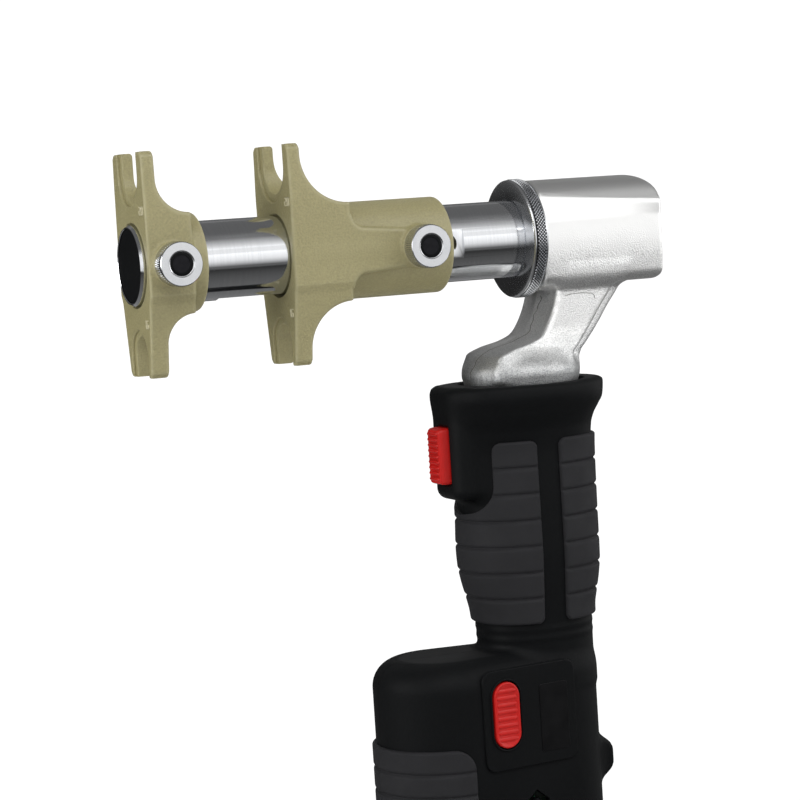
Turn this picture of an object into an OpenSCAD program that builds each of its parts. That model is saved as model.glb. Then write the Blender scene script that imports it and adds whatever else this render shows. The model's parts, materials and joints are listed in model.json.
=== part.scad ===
// Cordless axial press tool for plastic pipe: pistol grip with a slide-on battery pack, a swivelling
// hydraulic head and two forked yokes that a pulling rod draws together. Millimetres, +Z up, the yokes
// point along -X, the origin lies in the middle of the pack's underside.

/* [Stack] */
// height of the battery pack up to the foot
battery_h = 58; // [52:1:66]
// height of the foot that takes the pack
foot_h = 16; // [15:0.5:20]
// height of the motor housing over the foot
lower_h = 94; // [93:1:104]
// height of the grip over the motor housing
grip_h = 97; // [96:1:104]
// rise of the press axis over the collar
press_rise = 52; // [50:0.5:56]
// distance of the grip axis behind the middle of the pack
grip_x = 21; // [18:0.5:24]

/* [Housing] */
// wall of the two housing shells
wall = 2.4; // [2:0.1:2.8]
// gap between the two shells
split_gap = 0.1; // [0.06:0.02:0.2]
// radius of the round front of the motor housing
front_r = 24.7; // [24.5:0.1:26]
// radius of the round back of the motor housing
rear_r = 20; // [19.9:0.1:22]
// rounding of the top edge of the motor housing
top_round = 10; // [8:0.5:12]
// half width of the grip
grip_half = 20.5; // [20.4:0.1:22]
// reach of the trigger block in front of the grip axis
block_front = 33.1; // [32.8:0.1:34.5]
// half width of the trigger block
block_half = 12.5; // [12.5:0.25:14]
// height of the trigger block
block_h = 41; // [40:0.5:44]
// rounding of the lower edge of the trigger block
block_round = 4; // [3:0.25:4.5]
// thickness of the soft pads
pad_t = 1.2; // [1:0.05:1.5]
// gap under the soft pads
pad_gap = 0.3; // [0.3:0.02:0.4]
// reach of the front pad beside the trigger block
pad_cut = 20.3; // [19:0.1:20.6]
// depth under the collar from which the front pad goes round the front
pad_step = 48.5; // [48:0.5:52]
// rounding of the front pad under the trigger block
pad_corner = 13; // [10:0.5:14]
// width of the grooves across the pads
groove_w = 1; // [0.8:0.1:1.4]
// depth of the grooves across the pads
groove_d = 0.7; // [0.5:0.05:0.8]
// height of the raised side panel
panel_t = 0.8; // [0.5:0.1:1.2]
// reach of the strap lug behind the housing
lug_out = 4; // [3:0.25:6]

/* [Foot and pack] */
// length of the foot
foot_len = 113; // [108:1:113]
// width of the foot
foot_w = 74; // [72:1:75]
// length of the pack
pack_len = 115; // [114:1:120]
// width of the pack
pack_w = 75; // [75:1:80]
// corner radius of foot and pack
pack_r = 15; // [12:0.5:17]
// wall of the pack
pack_wall = 3; // [2.5:0.1:3.2]
// diameter of one cell
cell_d = 18.2; // [18:0.05:18.4]
// free space at the ends of the cells
cell_gap = 2; // [1.5:0.1:2.5]

/* [Press] */
// diameter of the guide tube and of the yoke carrier
rod_d = 28; // [27:0.25:28.5]
// free gap between the yokes at rest
press_gap = 30.7; // [30:0.25:36]
// pull of the press
stroke = 24; // [18:0.5:24]
// length of the outer yoke along the rod
outer_len = 21.6; // [20.5:0.2:24]
// length of the inner yoke with its sleeve
inner_len = 61; // [60:0.5:66]
// bare length of guide tube in front of the gland nut
tube_show = 29.5; // [27:0.5:33]
// width of the knurled gland nut
nut_w = 6; // [5.5:0.25:7]
// diameter of the knurled gland nut
nut_d = 43.5; // [43:0.25:45]
// diameter of the press cylinder
head_d = 42; // [42:0.25:43]
// length of the press cylinder
head_len = 48.5; // [48.5:0.5:54]
// bore of the press cylinder
bore_d = 30; // [29.6:0.1:30.6]
// half width over the flat cheeks of the cylinder
cheek_half = 17.6; // [17.4:0.1:18.4]
// diameter of the pull rod
pull_d = 16; // [15:0.25:17]
// thickness of the piston
piston_w = 7; // [6.5:0.25:7]
// radius of the round base of the head
base_r = 22; // [21:0.1:22.2]
// diameter of the swivel spigot under the head
spigot_d = 22; // [20:0.5:22.5]

/* [Yokes] */
// half height of the yokes
yoke_half_h = 38.5; // [37.5:0.25:41]
// thickness of an upper fork at its tip
prong_up = 4.8; // [4.5:0.1:6]
// thickness of a lower fork at its tip
prong_low = 6.6; // [6:0.1:7.5]
// length of the outer yoke's forked part
outer_fork = 16.5; // [15:0.25:18]
// length of the inner yoke's forked part
inner_fork = 22; // [20:0.25:24]
// outer diameter of hub and sleeve
hub_d = 34.4; // [34.2:0.1:36]
// distance of the pipe seats from the press axis
seat_rise = 31; // [30:0.25:32]
// radius of the upper seat of the outer yoke
outer_up_r = 7.8; // [7:0.1:8.4]
// radius of the lower seat of the outer yoke
outer_low_r = 6.6; // [6:0.1:7]
// radius of the upper seat of the inner yoke
inner_up_r = 9.5; // [8.5:0.1:9.8]
// radius of the lower seat of the inner yoke
inner_low_r = 7; // [6.4:0.1:7.4]
// width of the step round a seat
seat_step = 3; // [2:0.1:3.4]
// depth of the step round a seat
seat_step_d = 1; // [0.6:0.1:1.5]
// half height of the rib to the lock, at the hub
rib_half = 8; // [7:0.25:9]

/* [Locks] */
// diameter of a lock knob
knob_d = 15.5; // [15:0.1:17]
// length of a lock knob
knob_len = 7; // [7:0.1:8]
// diameter of the locking pin
pin_d = 6; // [5.6:0.1:6.4]
// diameter of the bush that guides the pin
bush_d = 10; // [9.8:0.1:10.4]
// distance of the boss face from the press axis
boss_y = 19; // [18.8:0.1:19.6]
// depth of the pin in its index hole
pin_in = 4; // [3.6:0.1:4.2]

/* [Drive] */
// module of the gears
gear_module = 0.95; // [0.94:0.01:0.98]
// width of a gear
gear_w = 5.7; // [5:0.1:5.8]
// radius of the motor can
motor_r = 17.5; // [16.5:0.25:17.5]
// length of the motor can
motor_len = 57; // [54:0.5:58]
// throw of the pump eccentric
throw = 1.5; // [1:0.1:1.7]

/* [Trigger and button] */
// width of the trigger
trigger_w = 14.4; // [13:0.2:15]
// height of the trigger
trigger_h = 20.5; // [19:0.5:21.5]
// reach of the trigger in front of its block
trigger_out = 2.7; // [2.6:0.1:3.5]
// width of the side button
button_w = 11.4; // [10.5:0.1:12]
// height of the side button
button_h = 24.6; // [23:0.2:25]
// reach of the side button over its panel
button_out = 1; // [0.6:0.1:1.4]

/* [Fits] */
// clearance of running fits, on the radius
run_fit = 0.05; // [0.03:0.01:0.08]
// clearance of fixed seats, on the radius
seat_fit = 0.03; // [0.02:0.01:0.05]
// clearance of loose fits
loose = 0.3; // [0.25:0.05:0.4]

/* [Hidden] */

$fn = 64;
small_teeth = 12;
big_teeth = 30;

foot_top = battery_h + foot_h;
lower_top = foot_top + lower_h;
collar_z = lower_top + grip_h;
press_z = collar_z + press_rise;
gear_centre = gear_module * (small_teeth + big_teeth) / 2;
idler_x = grip_x - gear_centre;
motor_x = grip_x - 2 * gear_centre;
rear_x = grip_x + 1.1;
side_a = asin((front_r - rear_r) / (rear_x - motor_x));

head_front = grip_x + 4.5;
head_end = head_front + head_len;
nut_x = head_front - nut_w;
sleeve_end = nut_x - tube_show;
inner_face = sleeve_end - inner_len;
outer_face = inner_face - press_gap - outer_len;
carrier_in = 17;
tube_start = inner_face + carrier_in + stroke + 2;
rod_r = rod_d / 2;
bore_r = bore_d / 2;
pull_r = pull_d / 2;
hub_r = hub_d / 2;
piston_x = head_front + 8;
bore_end = head_end - 5;
inner_pin_x = tube_start + 5;
outer_pin_x = outer_face + 8.8;
recess_z = collar_z - 6.8;
plate_z = lower_top - 24.7;
pump_z = lower_top - 4;

khaki = [0.66, 0.62, 0.42];
chrome = [0.78, 0.79, 0.8];
steel = [0.62, 0.63, 0.65];
cast = [0.8, 0.81, 0.82];
black = [0.07, 0.07, 0.075];
grey = [0.27, 0.27, 0.29];
red = [0.85, 0.1, 0.08];
brass = [0.75, 0.6, 0.3];
rubber = [0.12, 0.12, 0.13];

function spow(v, e) = sign(v) * pow(abs(v), e);

// The grip's section at a depth below the collar: front, rear and half width, in the frame of its axis.
grip_front = [[0, -32.2], [1.2, -33], [4, -33.2], [10, -31.5], [17, -28.2], [26, -26.2], [48, -26.1],
  [60, -26.5], [66, -26.3], [72, -25.3], [78, -23.8], [84, -22.5], [90, -22], [105, -21.6]];
grip_rear = [[0, 29.2], [1.2, 30.1], [4, 29.9], [7, 29.5], [10, 27.8], [13, 26], [17, 24.8], [26, 24.2],
  [48, 23.8], [66, 23.7], [72, 23], [78, 21.8], [84, 20.7], [105, 20.6]];
grip_wide = [[0, 1.17], [1.2, 1.22], [4, 1.24], [10, 1.163], [17, 1.042], [26, 0.995], [45, 1], [60, 1],
  [72, 0.967], [84, 0.921], [93, 0.9], [105, 0.89]];
grip_power = 2.3;
grip_rows = [94, 90, 84, 78, 72, 66, 57, 48, 26, 17, 13, 10, 7, 4, 1.2];
rows_h = 97;
function grip_z(d) = collar_z - d * grip_h / rows_h;
function row_at(depth) = depth * rows_h / grip_h;
function grip_mid(d) = (lookup(d, grip_front) + lookup(d, grip_rear)) / 2;
function grip_long(d) = (lookup(d, grip_rear) - lookup(d, grip_front)) / 2;
function grip_side(d) = grip_half * lookup(d, grip_wide);
function grip_point(d, t, o) = [
  grip_x + grip_mid(d) + (grip_long(d) + o) * spow(cos(t), 2 / grip_power),
  (grip_side(d) + o) * spow(sin(t), 2 / grip_power), grip_z(d)];
function grip_turn(d, x) = acos(spow(max(-1, min(1, (x - grip_mid(d)) / grip_long(d))), grip_power / 2));

// A closed skin over rings of points, each ring with the same count, listed from bottom to top.
module skin(rings) {
  n = len(rings[0]);
  m = len(rings);
  polyhedron(points = [for (r = rings) each r], faces = concat(
    [for (k = [0 : m - 2], i = [0 : n - 1], h = [0, 1]) let (j = (i + 1) % n, a = k * n + i, b = k * n + j)
      h == 0 ? [a, a + n, b] : [b, a + n, b + n]],
    [for (i = [1 : n - 2]) [0, i, i + 1]],
    [for (i = [1 : n - 2]) [(m - 1) * n, (m - 1) * n + i + 1, (m - 1) * n + i]]));
}

module grip_form(o, from, to, n) {
  depths = concat([to], [for (d = grip_rows) if (d > from + 0.3 && d < to - 0.3) d], [from]);
  skin([for (d = depths) [for (i = [0 : n - 1]) grip_point(d, 360 * i / n, o)]]);
}

module lower_outline(o) {
  hull() {
    translate([motor_x, 0]) circle(front_r - o, $fn = 40);
    translate([rear_x, 0]) circle(rear_r - o, $fn = 40);
  }
}

module plate_outline(l, w, r) {
  hull() for (x = [-1, 1], y = [-1, 1]) translate([x * (l / 2 - r), y * (w / 2 - r)]) circle(r, $fn = 32);
}

module slice(z) {
  translate([0, 0, z]) linear_extrude(0.02) children();
}

module lower_form() {
  turns = [0, 22, 45, 67, 90];
  for (k = [0 : len(turns) - 2]) hull() for (t = [turns[k], turns[k + 1]])
    slice(lower_top - top_round * (1 - cos(t)) - 0.02) lower_outline(top_round * (1 - sin(t)));
  hull() {
    slice(lower_top - top_round - 0.02) lower_outline(0);
    slice(foot_top + 18) lower_outline(0);
  }
  hull() {
    slice(foot_top + 18) lower_outline(0);
    slice(foot_top + 7) plate_outline(foot_len - 14, foot_w - 14, pack_r);
  }
  hull() {
    slice(foot_top + 7) plate_outline(foot_len - 14, foot_w - 14, pack_r);
    slice(foot_top) plate_outline(foot_len - 2, foot_w - 2, pack_r);
  }
  hull() {
    slice(foot_top) plate_outline(foot_len - 2, foot_w - 2, pack_r);
    slice(foot_top - 4) plate_outline(foot_len, foot_w, pack_r);
  }
  hull() {
    slice(foot_top - 4) plate_outline(foot_len, foot_w, pack_r);
    slice(battery_h + loose) plate_outline(foot_len, foot_w, pack_r);
  }
}

module block_outline(o) {
  hull() for (x = [5 - block_front, -16], y = [-1, 1]) translate([grip_x + x, y * (block_half - 5)])
    circle(5 + o, $fn = 32);
}

module block_form(o) {
  r = block_round + min(0, o);
  hull() {
    for (t = [0, 30, 60, 90]) slice(collar_z - block_h - o + r * (1 - cos(t)))
      block_outline(o - r * (1 - sin(t)));
    slice(collar_z - 2) block_outline(o);
  }
}

// Places children on the flat left side of the motor housing: x along the side, y up, z outward.
function side_y(x) = ((x - motor_x) * sin(side_a) - front_r) / cos(side_a);
module on_side(x, z) {
  translate([x, side_y(x), z]) rotate([0, 0, side_a]) rotate([90, 0, 0]) children();
}

module stadium(w, h) {
  hull() for (s = [-1, 1]) translate([0, s * (h - w) / 2]) circle(w / 2, $fn = 32);
}

panel_mid_x = grip_x - 15.2;
panel_mid_z = lower_top - 23.5;
button_x = grip_x - 25.3;
button_z = lower_top - 20;
module side_panel() {
  on_side(panel_mid_x, panel_mid_z) translate([0, 0, -1]) linear_extrude(1 + panel_t) hull()
    for (x = [-1, 1], y = [-1, 1]) translate([x * 15.6, y * 16]) circle(4, $fn = 24);
}

// A rounded lug behind the housing for a wrist strap.
module strap_lug() {
  translate([rear_x + rear_r, 7, lower_top - 45]) rotate([90, 0, 0]) linear_extrude(14) hull() {
    translate([-5, -8.25]) square([4, 16.5]);
    for (z = [-2.2, 2.2]) translate([lug_out - 3, z]) circle(3, $fn = 24);
  }
}

module half_space(side) {
  translate([-150, side < 0 ? -80 : split_gap / 2, -5]) cube([300, 80 - split_gap / 2, 500]);
}

// Screw places of the shells, in the XZ plane.
screw_at = [[grip_x + 18.6, collar_z - 30], [grip_x + 18.4, collar_z - 66], [grip_x - 20.2, collar_z - 60],
  [rear_x + rear_r - 6.4, lower_top - 31], [rear_x + rear_r - 6.4, foot_top + 12],
  [motor_x - front_r + 6.4, lower_top - 14], [motor_x - front_r + 6.4, foot_top + 3]];
screw_boss = 3.3;
screw_seat = 8;

module along_y(x, z) {
  translate([x, 0, z]) rotate([90, 0, 0]) children();
}

module cavity() {
  grip_form(-wall, 9.5, 104, 24);
  turns = [15, 45, 67, 90];
  for (k = [0 : len(turns) - 2]) hull() for (t = [turns[k], turns[k + 1]])
    slice(lower_top - wall - top_round * (1 - cos(t)) - 0.02) lower_outline(wall + top_round * (1 - sin(t)));
  hull() {
    slice(lower_top - wall - top_round) lower_outline(wall);
    slice(foot_top - 3) lower_outline(wall);
  }
  intersection() {
    block_form(-wall);
    translate([grip_x - 60, -30, collar_z - 60]) cube([60, 60, 60 - 9.5]);
  }
}

module housing(side) {
  difference() {
    intersection() {
      union() {
        grip_form(0, 0, 105, 32);
        lower_form();
        block_form(0);
        side_panel();
        mirror([0, 1, 0]) side_panel();
        strap_lug();
      }
      half_space(side);
    }
    difference() {
      cavity();
      for (s = screw_at) along_y(s[0], s[1]) cylinder(r = screw_boss, h = 60, center = true, $fn = 20);
    }
    translate([grip_x, 0, recess_z]) cylinder(r = base_r + 0.7, h = 20, $fn = 48);
    translate([grip_x, 0, recess_z - 6]) cylinder(r = pump_top_r + 0.5, h = 10, $fn = 48);
    translate([grip_x - block_front - 8, -trigger_w / 2 - loose, trigger_z - loose])
      cube([13, trigger_w + 2 * loose, trigger_h + 2 * loose]);
    for (s = screw_at) along_y(s[0], s[1]) {
      cylinder(r = 1.6, h = 2 * screw_seat + 4, center = true, $fn = 16);
      mirror([0, 0, 1]) translate([0, 0, screw_seat]) cylinder(r = 2.9, h = 30, $fn = 20);
    }
    if (side < 0) on_side(button_x, button_z) translate([0, 0, -8]) linear_extrude(16)
      stadium(button_w, button_h);
    for (k = [0 : 2]) {
      vent(k);
      mirror([0, 1, 0]) vent(k);
    }
    // rails and terminals of the pack
    translate([-foot_len, -rail_w / 2 - loose, battery_h - 1])
      cube([foot_len + rail_end + loose, rail_w + 2 * loose, 6]);
    translate([-foot_len, -rail_w / 2 - rail_lip - loose, battery_h + 4 - loose])
      cube([foot_len + rail_end + loose, rail_w + 2 * rail_lip + 2 * loose, 5 + 2 * loose]);
    translate([-18 - loose, -14.5 - loose, battery_h + 3]) cube([36 + 2 * loose, 29 + 2 * loose, 14]);
    translate([-foot_len / 2 - 1, -9, battery_h - 1]) cube([5.5, 18, 4.5]);
  }
}
rail_end = pack_len / 2 - 5;
rail_start = 7.5 - pack_len / 2;
rail_w = 48;
rail_lip = 4;

// One chevron slot for the motor's air, in a row down the side.
module vent(k) {
  on_side(grip_x - 14, lower_top - 49 - 9 * k) translate([0, 0, -6]) linear_extrude(12)
    polygon([[-5, -4], [-5, -1], [0, 3], [5, -1], [5, -4], [0, 0]]);
}

trigger_z = collar_z - 14.2 - trigger_h;

module left_housing() {
  color(black) housing(-1);
}

module right_housing() {
  color(black) housing(1);
}

// A pad on the grip: rows down the grip, each from one angle to another, with grooves across.
pad_top = 20.2;
pad_low = 87;
pad_pitch = (pad_low - pad_top) / 7;
function crown(d) = min([for (k = [1 : 6])
  max(0, min(1, (abs(d - pad_top - k * pad_pitch) / groove_w - 0.35) / 0.3))]);
function sorted(list) = len(list) < 2 ? list : let (m = list[floor(len(list) / 2)])
  concat(sorted([for (v = list) if (v < m) v]), m, sorted([for (v = list) if (v > m) v]));
function pad_rows(rear) = concat([[pad_top, 0.6]],
  [for (d = sorted(concat([pad_top + 0.7, pad_low - 0.7],
    [for (k = [1 : 6], q = [-0.65, -0.35, 0.35, 0.65]) pad_top + k * pad_pitch + q * groove_w],
    rear ? [] : [for (t = [0, 12, 23, 33, 42, 49, 55, 60, 65])
      row_at(pad_step - pad_corner * (1 - sin(t)))])))
    [d, crown(d)]],
  [[pad_low, 0.6]]);
function pad_edge(d) = d > row_at(pad_step) ? -90 : d < row_at(pad_step - pad_corner) ? -pad_cut
  : sqrt(pow(pad_corner, 2) - pow(d / row_at(1) - pad_step + pad_corner, 2)) - pad_cut - pad_corner;
function pad_ends(d, rear) = rear ? [grip_turn(d, 3.4), 0.6]
  : [grip_turn(d, -5.2), min(179.4, grip_turn(d, pad_edge(d)))];
module grip_pad(side, rear) {
  n = rear ? 8 : 10;
  down = pad_rows(rear);
  rows = [for (k = [len(down) - 1 : -1 : 0]) down[k]];
  skin([for (r = rows) let (e = pad_ends(r[0], rear), h = pad_gap + pad_t - groove_d * (1 - r[1]),
    out = [for (i = [0 : n]) grip_point(r[0], side * (e[0] + (e[1] - e[0]) * i / n), h)],
    back = [for (i = [n : -1 : 0]) grip_point(r[0], side * (e[0] + (e[1] - e[0]) * i / n), pad_gap)],
    loop = concat(out, back)) (side > 0) == rear ? [for (i = [len(loop) - 1 : -1 : 0]) loop[i]] : loop]);
}

module left_front_pad() {
  color(grey) grip_pad(-1, false);
}

module right_front_pad() {
  color(grey) grip_pad(1, false);
}

module left_rear_pad() {
  color(grey) grip_pad(-1, true);
}

module right_rear_pad() {
  color(grey) grip_pad(1, true);
}

// A pad round the front of the motor housing, grooved like the grip's.
low_pad_top = lower_top - 30;
low_pad_end = foot_top + 22;
low_pad_n = 5;
module lower_pad(side) {
  pitch = (low_pad_top - low_pad_end) / low_pad_n;
  turn = 89.7 + asin(low_pad_past / front_r);
  difference() {
    translate([motor_x, 0, low_pad_end]) rotate([0, 0, side < 0 ? 180.3 : 179.7 - turn])
      rotate_extrude(angle = turn) translate([front_r + pad_gap, 0]) difference() {
        square([pad_t, low_pad_top - low_pad_end]);
        for (k = [1 : low_pad_n - 1]) translate([pad_t - groove_d, k * pitch - groove_w / 2])
          square([2, groove_w]);
      }
    translate([motor_x + low_pad_past - low_pad_r, side < 0 ? 0 : front_r * 2, low_pad_top - low_pad_r])
      rotate([90, 0, 0]) linear_extrude(front_r * 2) difference() {
        square(low_pad_r * 2);
        circle(low_pad_r);
      }
  }
}
low_pad_r = 8;
low_pad_past = 1;

module left_lower_pad() {
  color(grey) lower_pad(-1);
}

module right_lower_pad() {
  color(grey) lower_pad(1);
}

module housing_screws() {
  color(steel) for (s = screw_at) along_y(s[0], s[1]) {
    translate([0, 0, -screw_seat - 2.6]) difference() {
      cylinder(r = 2.6, h = 2.6 - 0.05);
      translate([0, 0, -1]) cylinder(r = 1.3, h = 2.4, $fn = 6);
    }
    translate([0, 0, -screw_seat - 0.2]) cylinder(r = 1.3, h = 2 * screw_seat);
  }
}

pump_waist = 11.5;
pump_top_r = 15;
cam_z = lower_top + 0.5;
cam_r = 6;
cam_ring_r = 8.2;
module pump_block() {
  color(cast) difference() {
    union() {
      translate([grip_x, 0, pump_z]) cylinder(r = pump_top_r, h = 25.5);
      translate([grip_x, 0, pump_z + 25]) cylinder(r = pump_waist, h = recess_z - pump_z - 57);
      translate([grip_x, 0, recess_z - 32]) cylinder(r = pump_top_r, h = 32);
      translate([grip_x + 10, 0, cam_z + 3.8]) rotate([0, 90, 0]) cylinder(r = 5.5, h = 6.8);
    }
    translate([grip_x, 0, pump_z - 1]) cylinder(r = 10.5, h = 16);
    translate([grip_x, 0, pump_z + 14]) cylinder(r = 3 + run_fit, h = 10);
    translate([grip_x + 9, 0, cam_z + 3.8]) rotate([0, 90, 0]) cylinder(r = 3 + run_fit, h = 10);
    translate([grip_x, 0, spigot_z - 1]) cylinder(r = spigot_d / 2 + run_fit, h = 40);
    translate([grip_x, 0, ring_z]) cylinder(r = spigot_d / 2 + 1.4, h = 2.4);
    translate([grip_x, 0, recess_z - 45]) cylinder(r = 1.5, h = 40);
  }
}
spigot_z = recess_z - 22;
ring_z = recess_z - 15;

module ring(ro, ri, h) {
  difference() {
    cylinder(r = ro, h = h);
    translate([0, 0, -1]) cylinder(r = ri, h = h + 2);
  }
}

module oil_bladder() {
  color(rubber) translate([grip_x, 0, pump_z + 25.7])
    ring(pump_top_r - 0.3, pump_waist + 0.1, recess_z - pump_z - 58);
}

module pump_plunger() {
  color(steel) translate([grip_x + throw + cam_ring_r + loose, 0, cam_z + 3.8]) rotate([0, 90, 0])
    cylinder(r = 3, h = 8 - throw);
}

module swivel_ring() {
  color(steel) translate([grip_x, 0, ring_z + 0.1]) ring(spigot_d / 2 + 1.2, spigot_d / 2 - 1.7, 2.2);
}

module swivel_seal() {
  color(rubber) translate([grip_x, 0, spigot_z + 4.7]) rotate_extrude()
    translate([spigot_d / 2 - 0.9, 0]) circle(0.83);
}

flange_x = grip_x - block_front + wall + 0.5;
flange_t = 2.2;
switch_x = flange_x + flange_t + 3.6;
module trigger_switch() {
  color(black) difference() {
    translate([switch_x, -8.5, trigger_z - 0.5]) cube([7.6, 17, trigger_h + 1]);
    for (s = [-1, 1]) translate([switch_x - 4, s * 8.5 - 1, trigger_z + 4]) cube([20, 2, 1.4]);
  }
}

// A coil along z: mean radius, wire radius, length, turns.
module coil(r, w, l, turns) {
  seg = 10;
  sides = 5;
  n = round(turns * seg);
  pts = [for (i = [0 : n]) let (t = 360 * i / seg, z = w + (l - 2 * w) * i / n)
    [for (k = [0 : sides - 1]) let (p = 360 * k / sides)
      [(r + w * cos(p)) * cos(t), (r + w * cos(p)) * sin(t), z + w * sin(p)]]];
  skin(pts);
}

module trigger_spring() {
  color(steel) translate([flange_x + flange_t + 0.1, 0, trigger_z + trigger_h / 2]) rotate([0, 90, 0])
    coil(3, 0.25, 3.4, 3);
}

// Return switch and its soft dome sit behind the side button.
switch_in = wall + 4.1;
module return_switch() {
  color(black) on_side(button_x + 2, plate_z - 5) translate([-3.6, -4.4, -switch_in - 3.6])
    cube([7.2, 8.8, 3.6]);
}

module return_dome() {
  color(rubber) on_side(button_x + 2, plate_z - 5) translate([0, 0, -switch_in + 0.05])
    cylinder(r1 = 2.6, r2 = 1.6, h = 1.9);
}

module control_board() {
  color([0.1, 0.32, 0.18]) union() {
    translate([grip_x - 2.5, -16, foot_top - 2.7]) cube([1.6, 32, 60]);
    translate([grip_x - 1, -12, foot_top + 6]) cube([7, 10, 14]);
    translate([grip_x - 1, 1, foot_top + 16]) cube([9, 11, 20]);
    translate([grip_x - 1, -9, foot_top + 42]) cube([3, 18, 8]);
  }
}

module terminal_block() {
  color(rubber) difference() {
    translate([-18, -14.5, battery_h + 3.4]) cube([36, 29, 12.2]);
    for (y = [-9, 0, 9]) translate([-19, y - 1.2, battery_h + 2]) cube([30, 2.4, 5]);
  }
}

module gear_plate() {
  color(steel) difference() {
    translate([0, 0, plate_z]) linear_extrude(3) lower_outline(wall + 0.4);
    translate([motor_x, 0, plate_z - 1]) cylinder(r = 6, h = 6);
    translate([idler_x, 0, plate_z - 1]) cylinder(r = 2.5 + seat_fit, h = 6);
    translate([grip_x, 0, plate_z - 1]) cylinder(r = 4 + run_fit, h = 6);
    for (s = [-1, 1]) translate([motor_x, s * 11, plate_z - 1]) cylinder(r = 1.7, h = 6);
    on_side(button_x, button_z) translate([-9, -30, -8.5]) cube([18, 60, 20]);
    for (s = screw_at) along_y(s[0], s[1]) cylinder(r = 5, h = 60, center = true);
  }
}

module idler_pin() {
  color(steel) union() {
    translate([idler_x, 0, plate_z]) cylinder(r = 2.5, h = 18.6);
    translate([idler_x, 0, plate_z + 18]) cylinder(r = 3.6, h = 1.4);
  }
}

motor_top = plate_z - 0.1;
can_wall = 1.5;
magnet_t = motor_r * 0.163;
magnet_len = motor_len * 0.63;
magnet_z = motor_top - motor_len * 0.84;
module motor_can() {
  color(steel) difference() {
    translate([motor_x, 0, motor_top - motor_len]) cylinder(r = motor_r, h = motor_len);
    translate([motor_x, 0, motor_top - motor_len - 1]) cylinder(r = motor_r - can_wall, h = motor_len - 1);
    translate([motor_x, 0, motor_top - 5]) cylinder(r = 2.5 + run_fit, h = 10);
    for (t = [0 : 60 : 300]) translate([motor_x, 0, motor_top - 1]) rotate([0, 0, t + 30])
      translate([12.5, 0, -4]) cylinder(r = 2.2, h = 10);
  }
}

module motor_cap() {
  color(black) difference() {
    translate([motor_x, 0, motor_top - motor_len + 0.1]) union() {
      cylinder(r = motor_r - can_wall - seat_fit, h = 4);
      cylinder(r = 6, h = 6);
    }
    translate([motor_x, 0, motor_top - motor_len + 1.6]) cylinder(r = 2.5 + run_fit, h = 10);
  }
}

module motor_magnets() {
  color(rubber) for (s = [0, 180]) translate([motor_x, 0, magnet_z]) rotate([0, 0, s - 65])
    rotate_extrude(angle = 130) translate([motor_r - can_wall - magnet_t - 0.1, 0])
      square([magnet_t, magnet_len]);
}

// The trigger: ribbed face in front, a flange behind the wall of its block.
module trigger() {
  color(red) difference() {
    union() {
      translate([grip_x - block_front - trigger_out, -trigger_w / 2, trigger_z])
        cube([flange_x + flange_t - grip_x + block_front + trigger_out, trigger_w, trigger_h]);
      translate([flange_x, -trigger_w / 2 - 1.1, trigger_z - 2])
        cube([flange_t, trigger_w + 2.2, trigger_h + 4]);
    }
    for (k = [1 : 5]) translate([grip_x - block_front - trigger_out - 1, -20, trigger_z - 0.6])
      translate([0, 0, k * trigger_h / 6]) cube([1.8, 40, 1.2]);
  }
}

module release_button() {
  color(red) on_side(button_x, button_z) difference() {
    union() {
      translate([0, 0, -wall - 2.1]) linear_extrude(wall + 2.1 + panel_t + button_out)
        stadium(button_w - 0.6, button_h - 0.6);
      translate([0, -2, -wall - 2.1]) linear_extrude(1.2) stadium(button_w + 2.4, button_h - 4);
    }
    for (k = [-3 : 4]) translate([-3.6, (k - 0.5) * 2.2 - 0.45, panel_t + button_out - 0.7])
      cube([7.2, 0.9, 2]);
  }
}

// Involute gear outline: pitch radius from module and teeth, with a profile shift and a little backlash.
function inv(a) = tan(a) * 180 / PI - a;
module gear(teeth, shift, h, hole) {
  rp = gear_module * teeth / 2;
  rb = rp * cos(20);
  ra = rp + gear_module * (0.95 + shift);
  rf = rp - gear_module * (1.25 - shift);
  half = 90 / teeth + 2 * shift * tan(20) * 90 / teeth * 2 / PI + inv(20) - 0.07 / rp * 180 / PI;
  lo = max(rb, rf) + 0.02;
  rs = [for (k = [0 : 3]) lo + (ra - lo) * k / 3];
  function at(r) = half - inv(acos(rb / r));
  difference() {
    linear_extrude(h) polygon([for (i = [0 : teeth - 1]) each let (m = 360 * i / teeth)
      concat([[rf * cos(m - at(lo)), rf * sin(m - at(lo))]],
        [for (r = rs) [r * cos(m - at(r)), r * sin(m - at(r))]],
        [for (k = [3 : -1 : 0]) let (r = rs[k]) [r * cos(m + at(r)), r * sin(m + at(r))]],
        [[rf * cos(m + at(lo)), rf * sin(m + at(lo))]])]);
    translate([0, 0, -1]) cylinder(r = hole, h = h + 2);
  }
}
small_shift = 0.3;

module rotor() {
  color(steel) translate([motor_x, 0, 0]) union() {
    translate([0, 0, motor_top - motor_len + 1.9]) cylinder(r = 2.5, h = motor_len + 9);
    translate([0, 0, magnet_z]) cylinder(r = motor_r - can_wall - magnet_t - 0.8, h = magnet_len);
    translate([0, 0, motor_top - 10]) cylinder(r = motor_r * 0.32, h = 5);
  }
}

module motor_pinion() {
  color(brass) translate([motor_x, 0, plate_z + 3.7]) gear(small_teeth, small_shift, 6.6, 2.5 + seat_fit);
}

module idler_gear() {
  color(brass) translate([idler_x, 0, 0]) union() {
    translate([0, 0, plate_z + 4]) rotate([0, 0, 180 / big_teeth])
      gear(big_teeth, -small_shift, gear_w, 2.5 + run_fit);
    translate([0, 0, plate_z + 4]) gear(small_teeth, small_shift, 13.6, 2.5 + run_fit);
  }
}

module pump_gear() {
  color(brass) translate([grip_x, 0, plate_z + 11.2]) rotate([0, 0, 180 / big_teeth])
    gear(big_teeth, -small_shift, gear_w, 4 + seat_fit);
}

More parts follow.
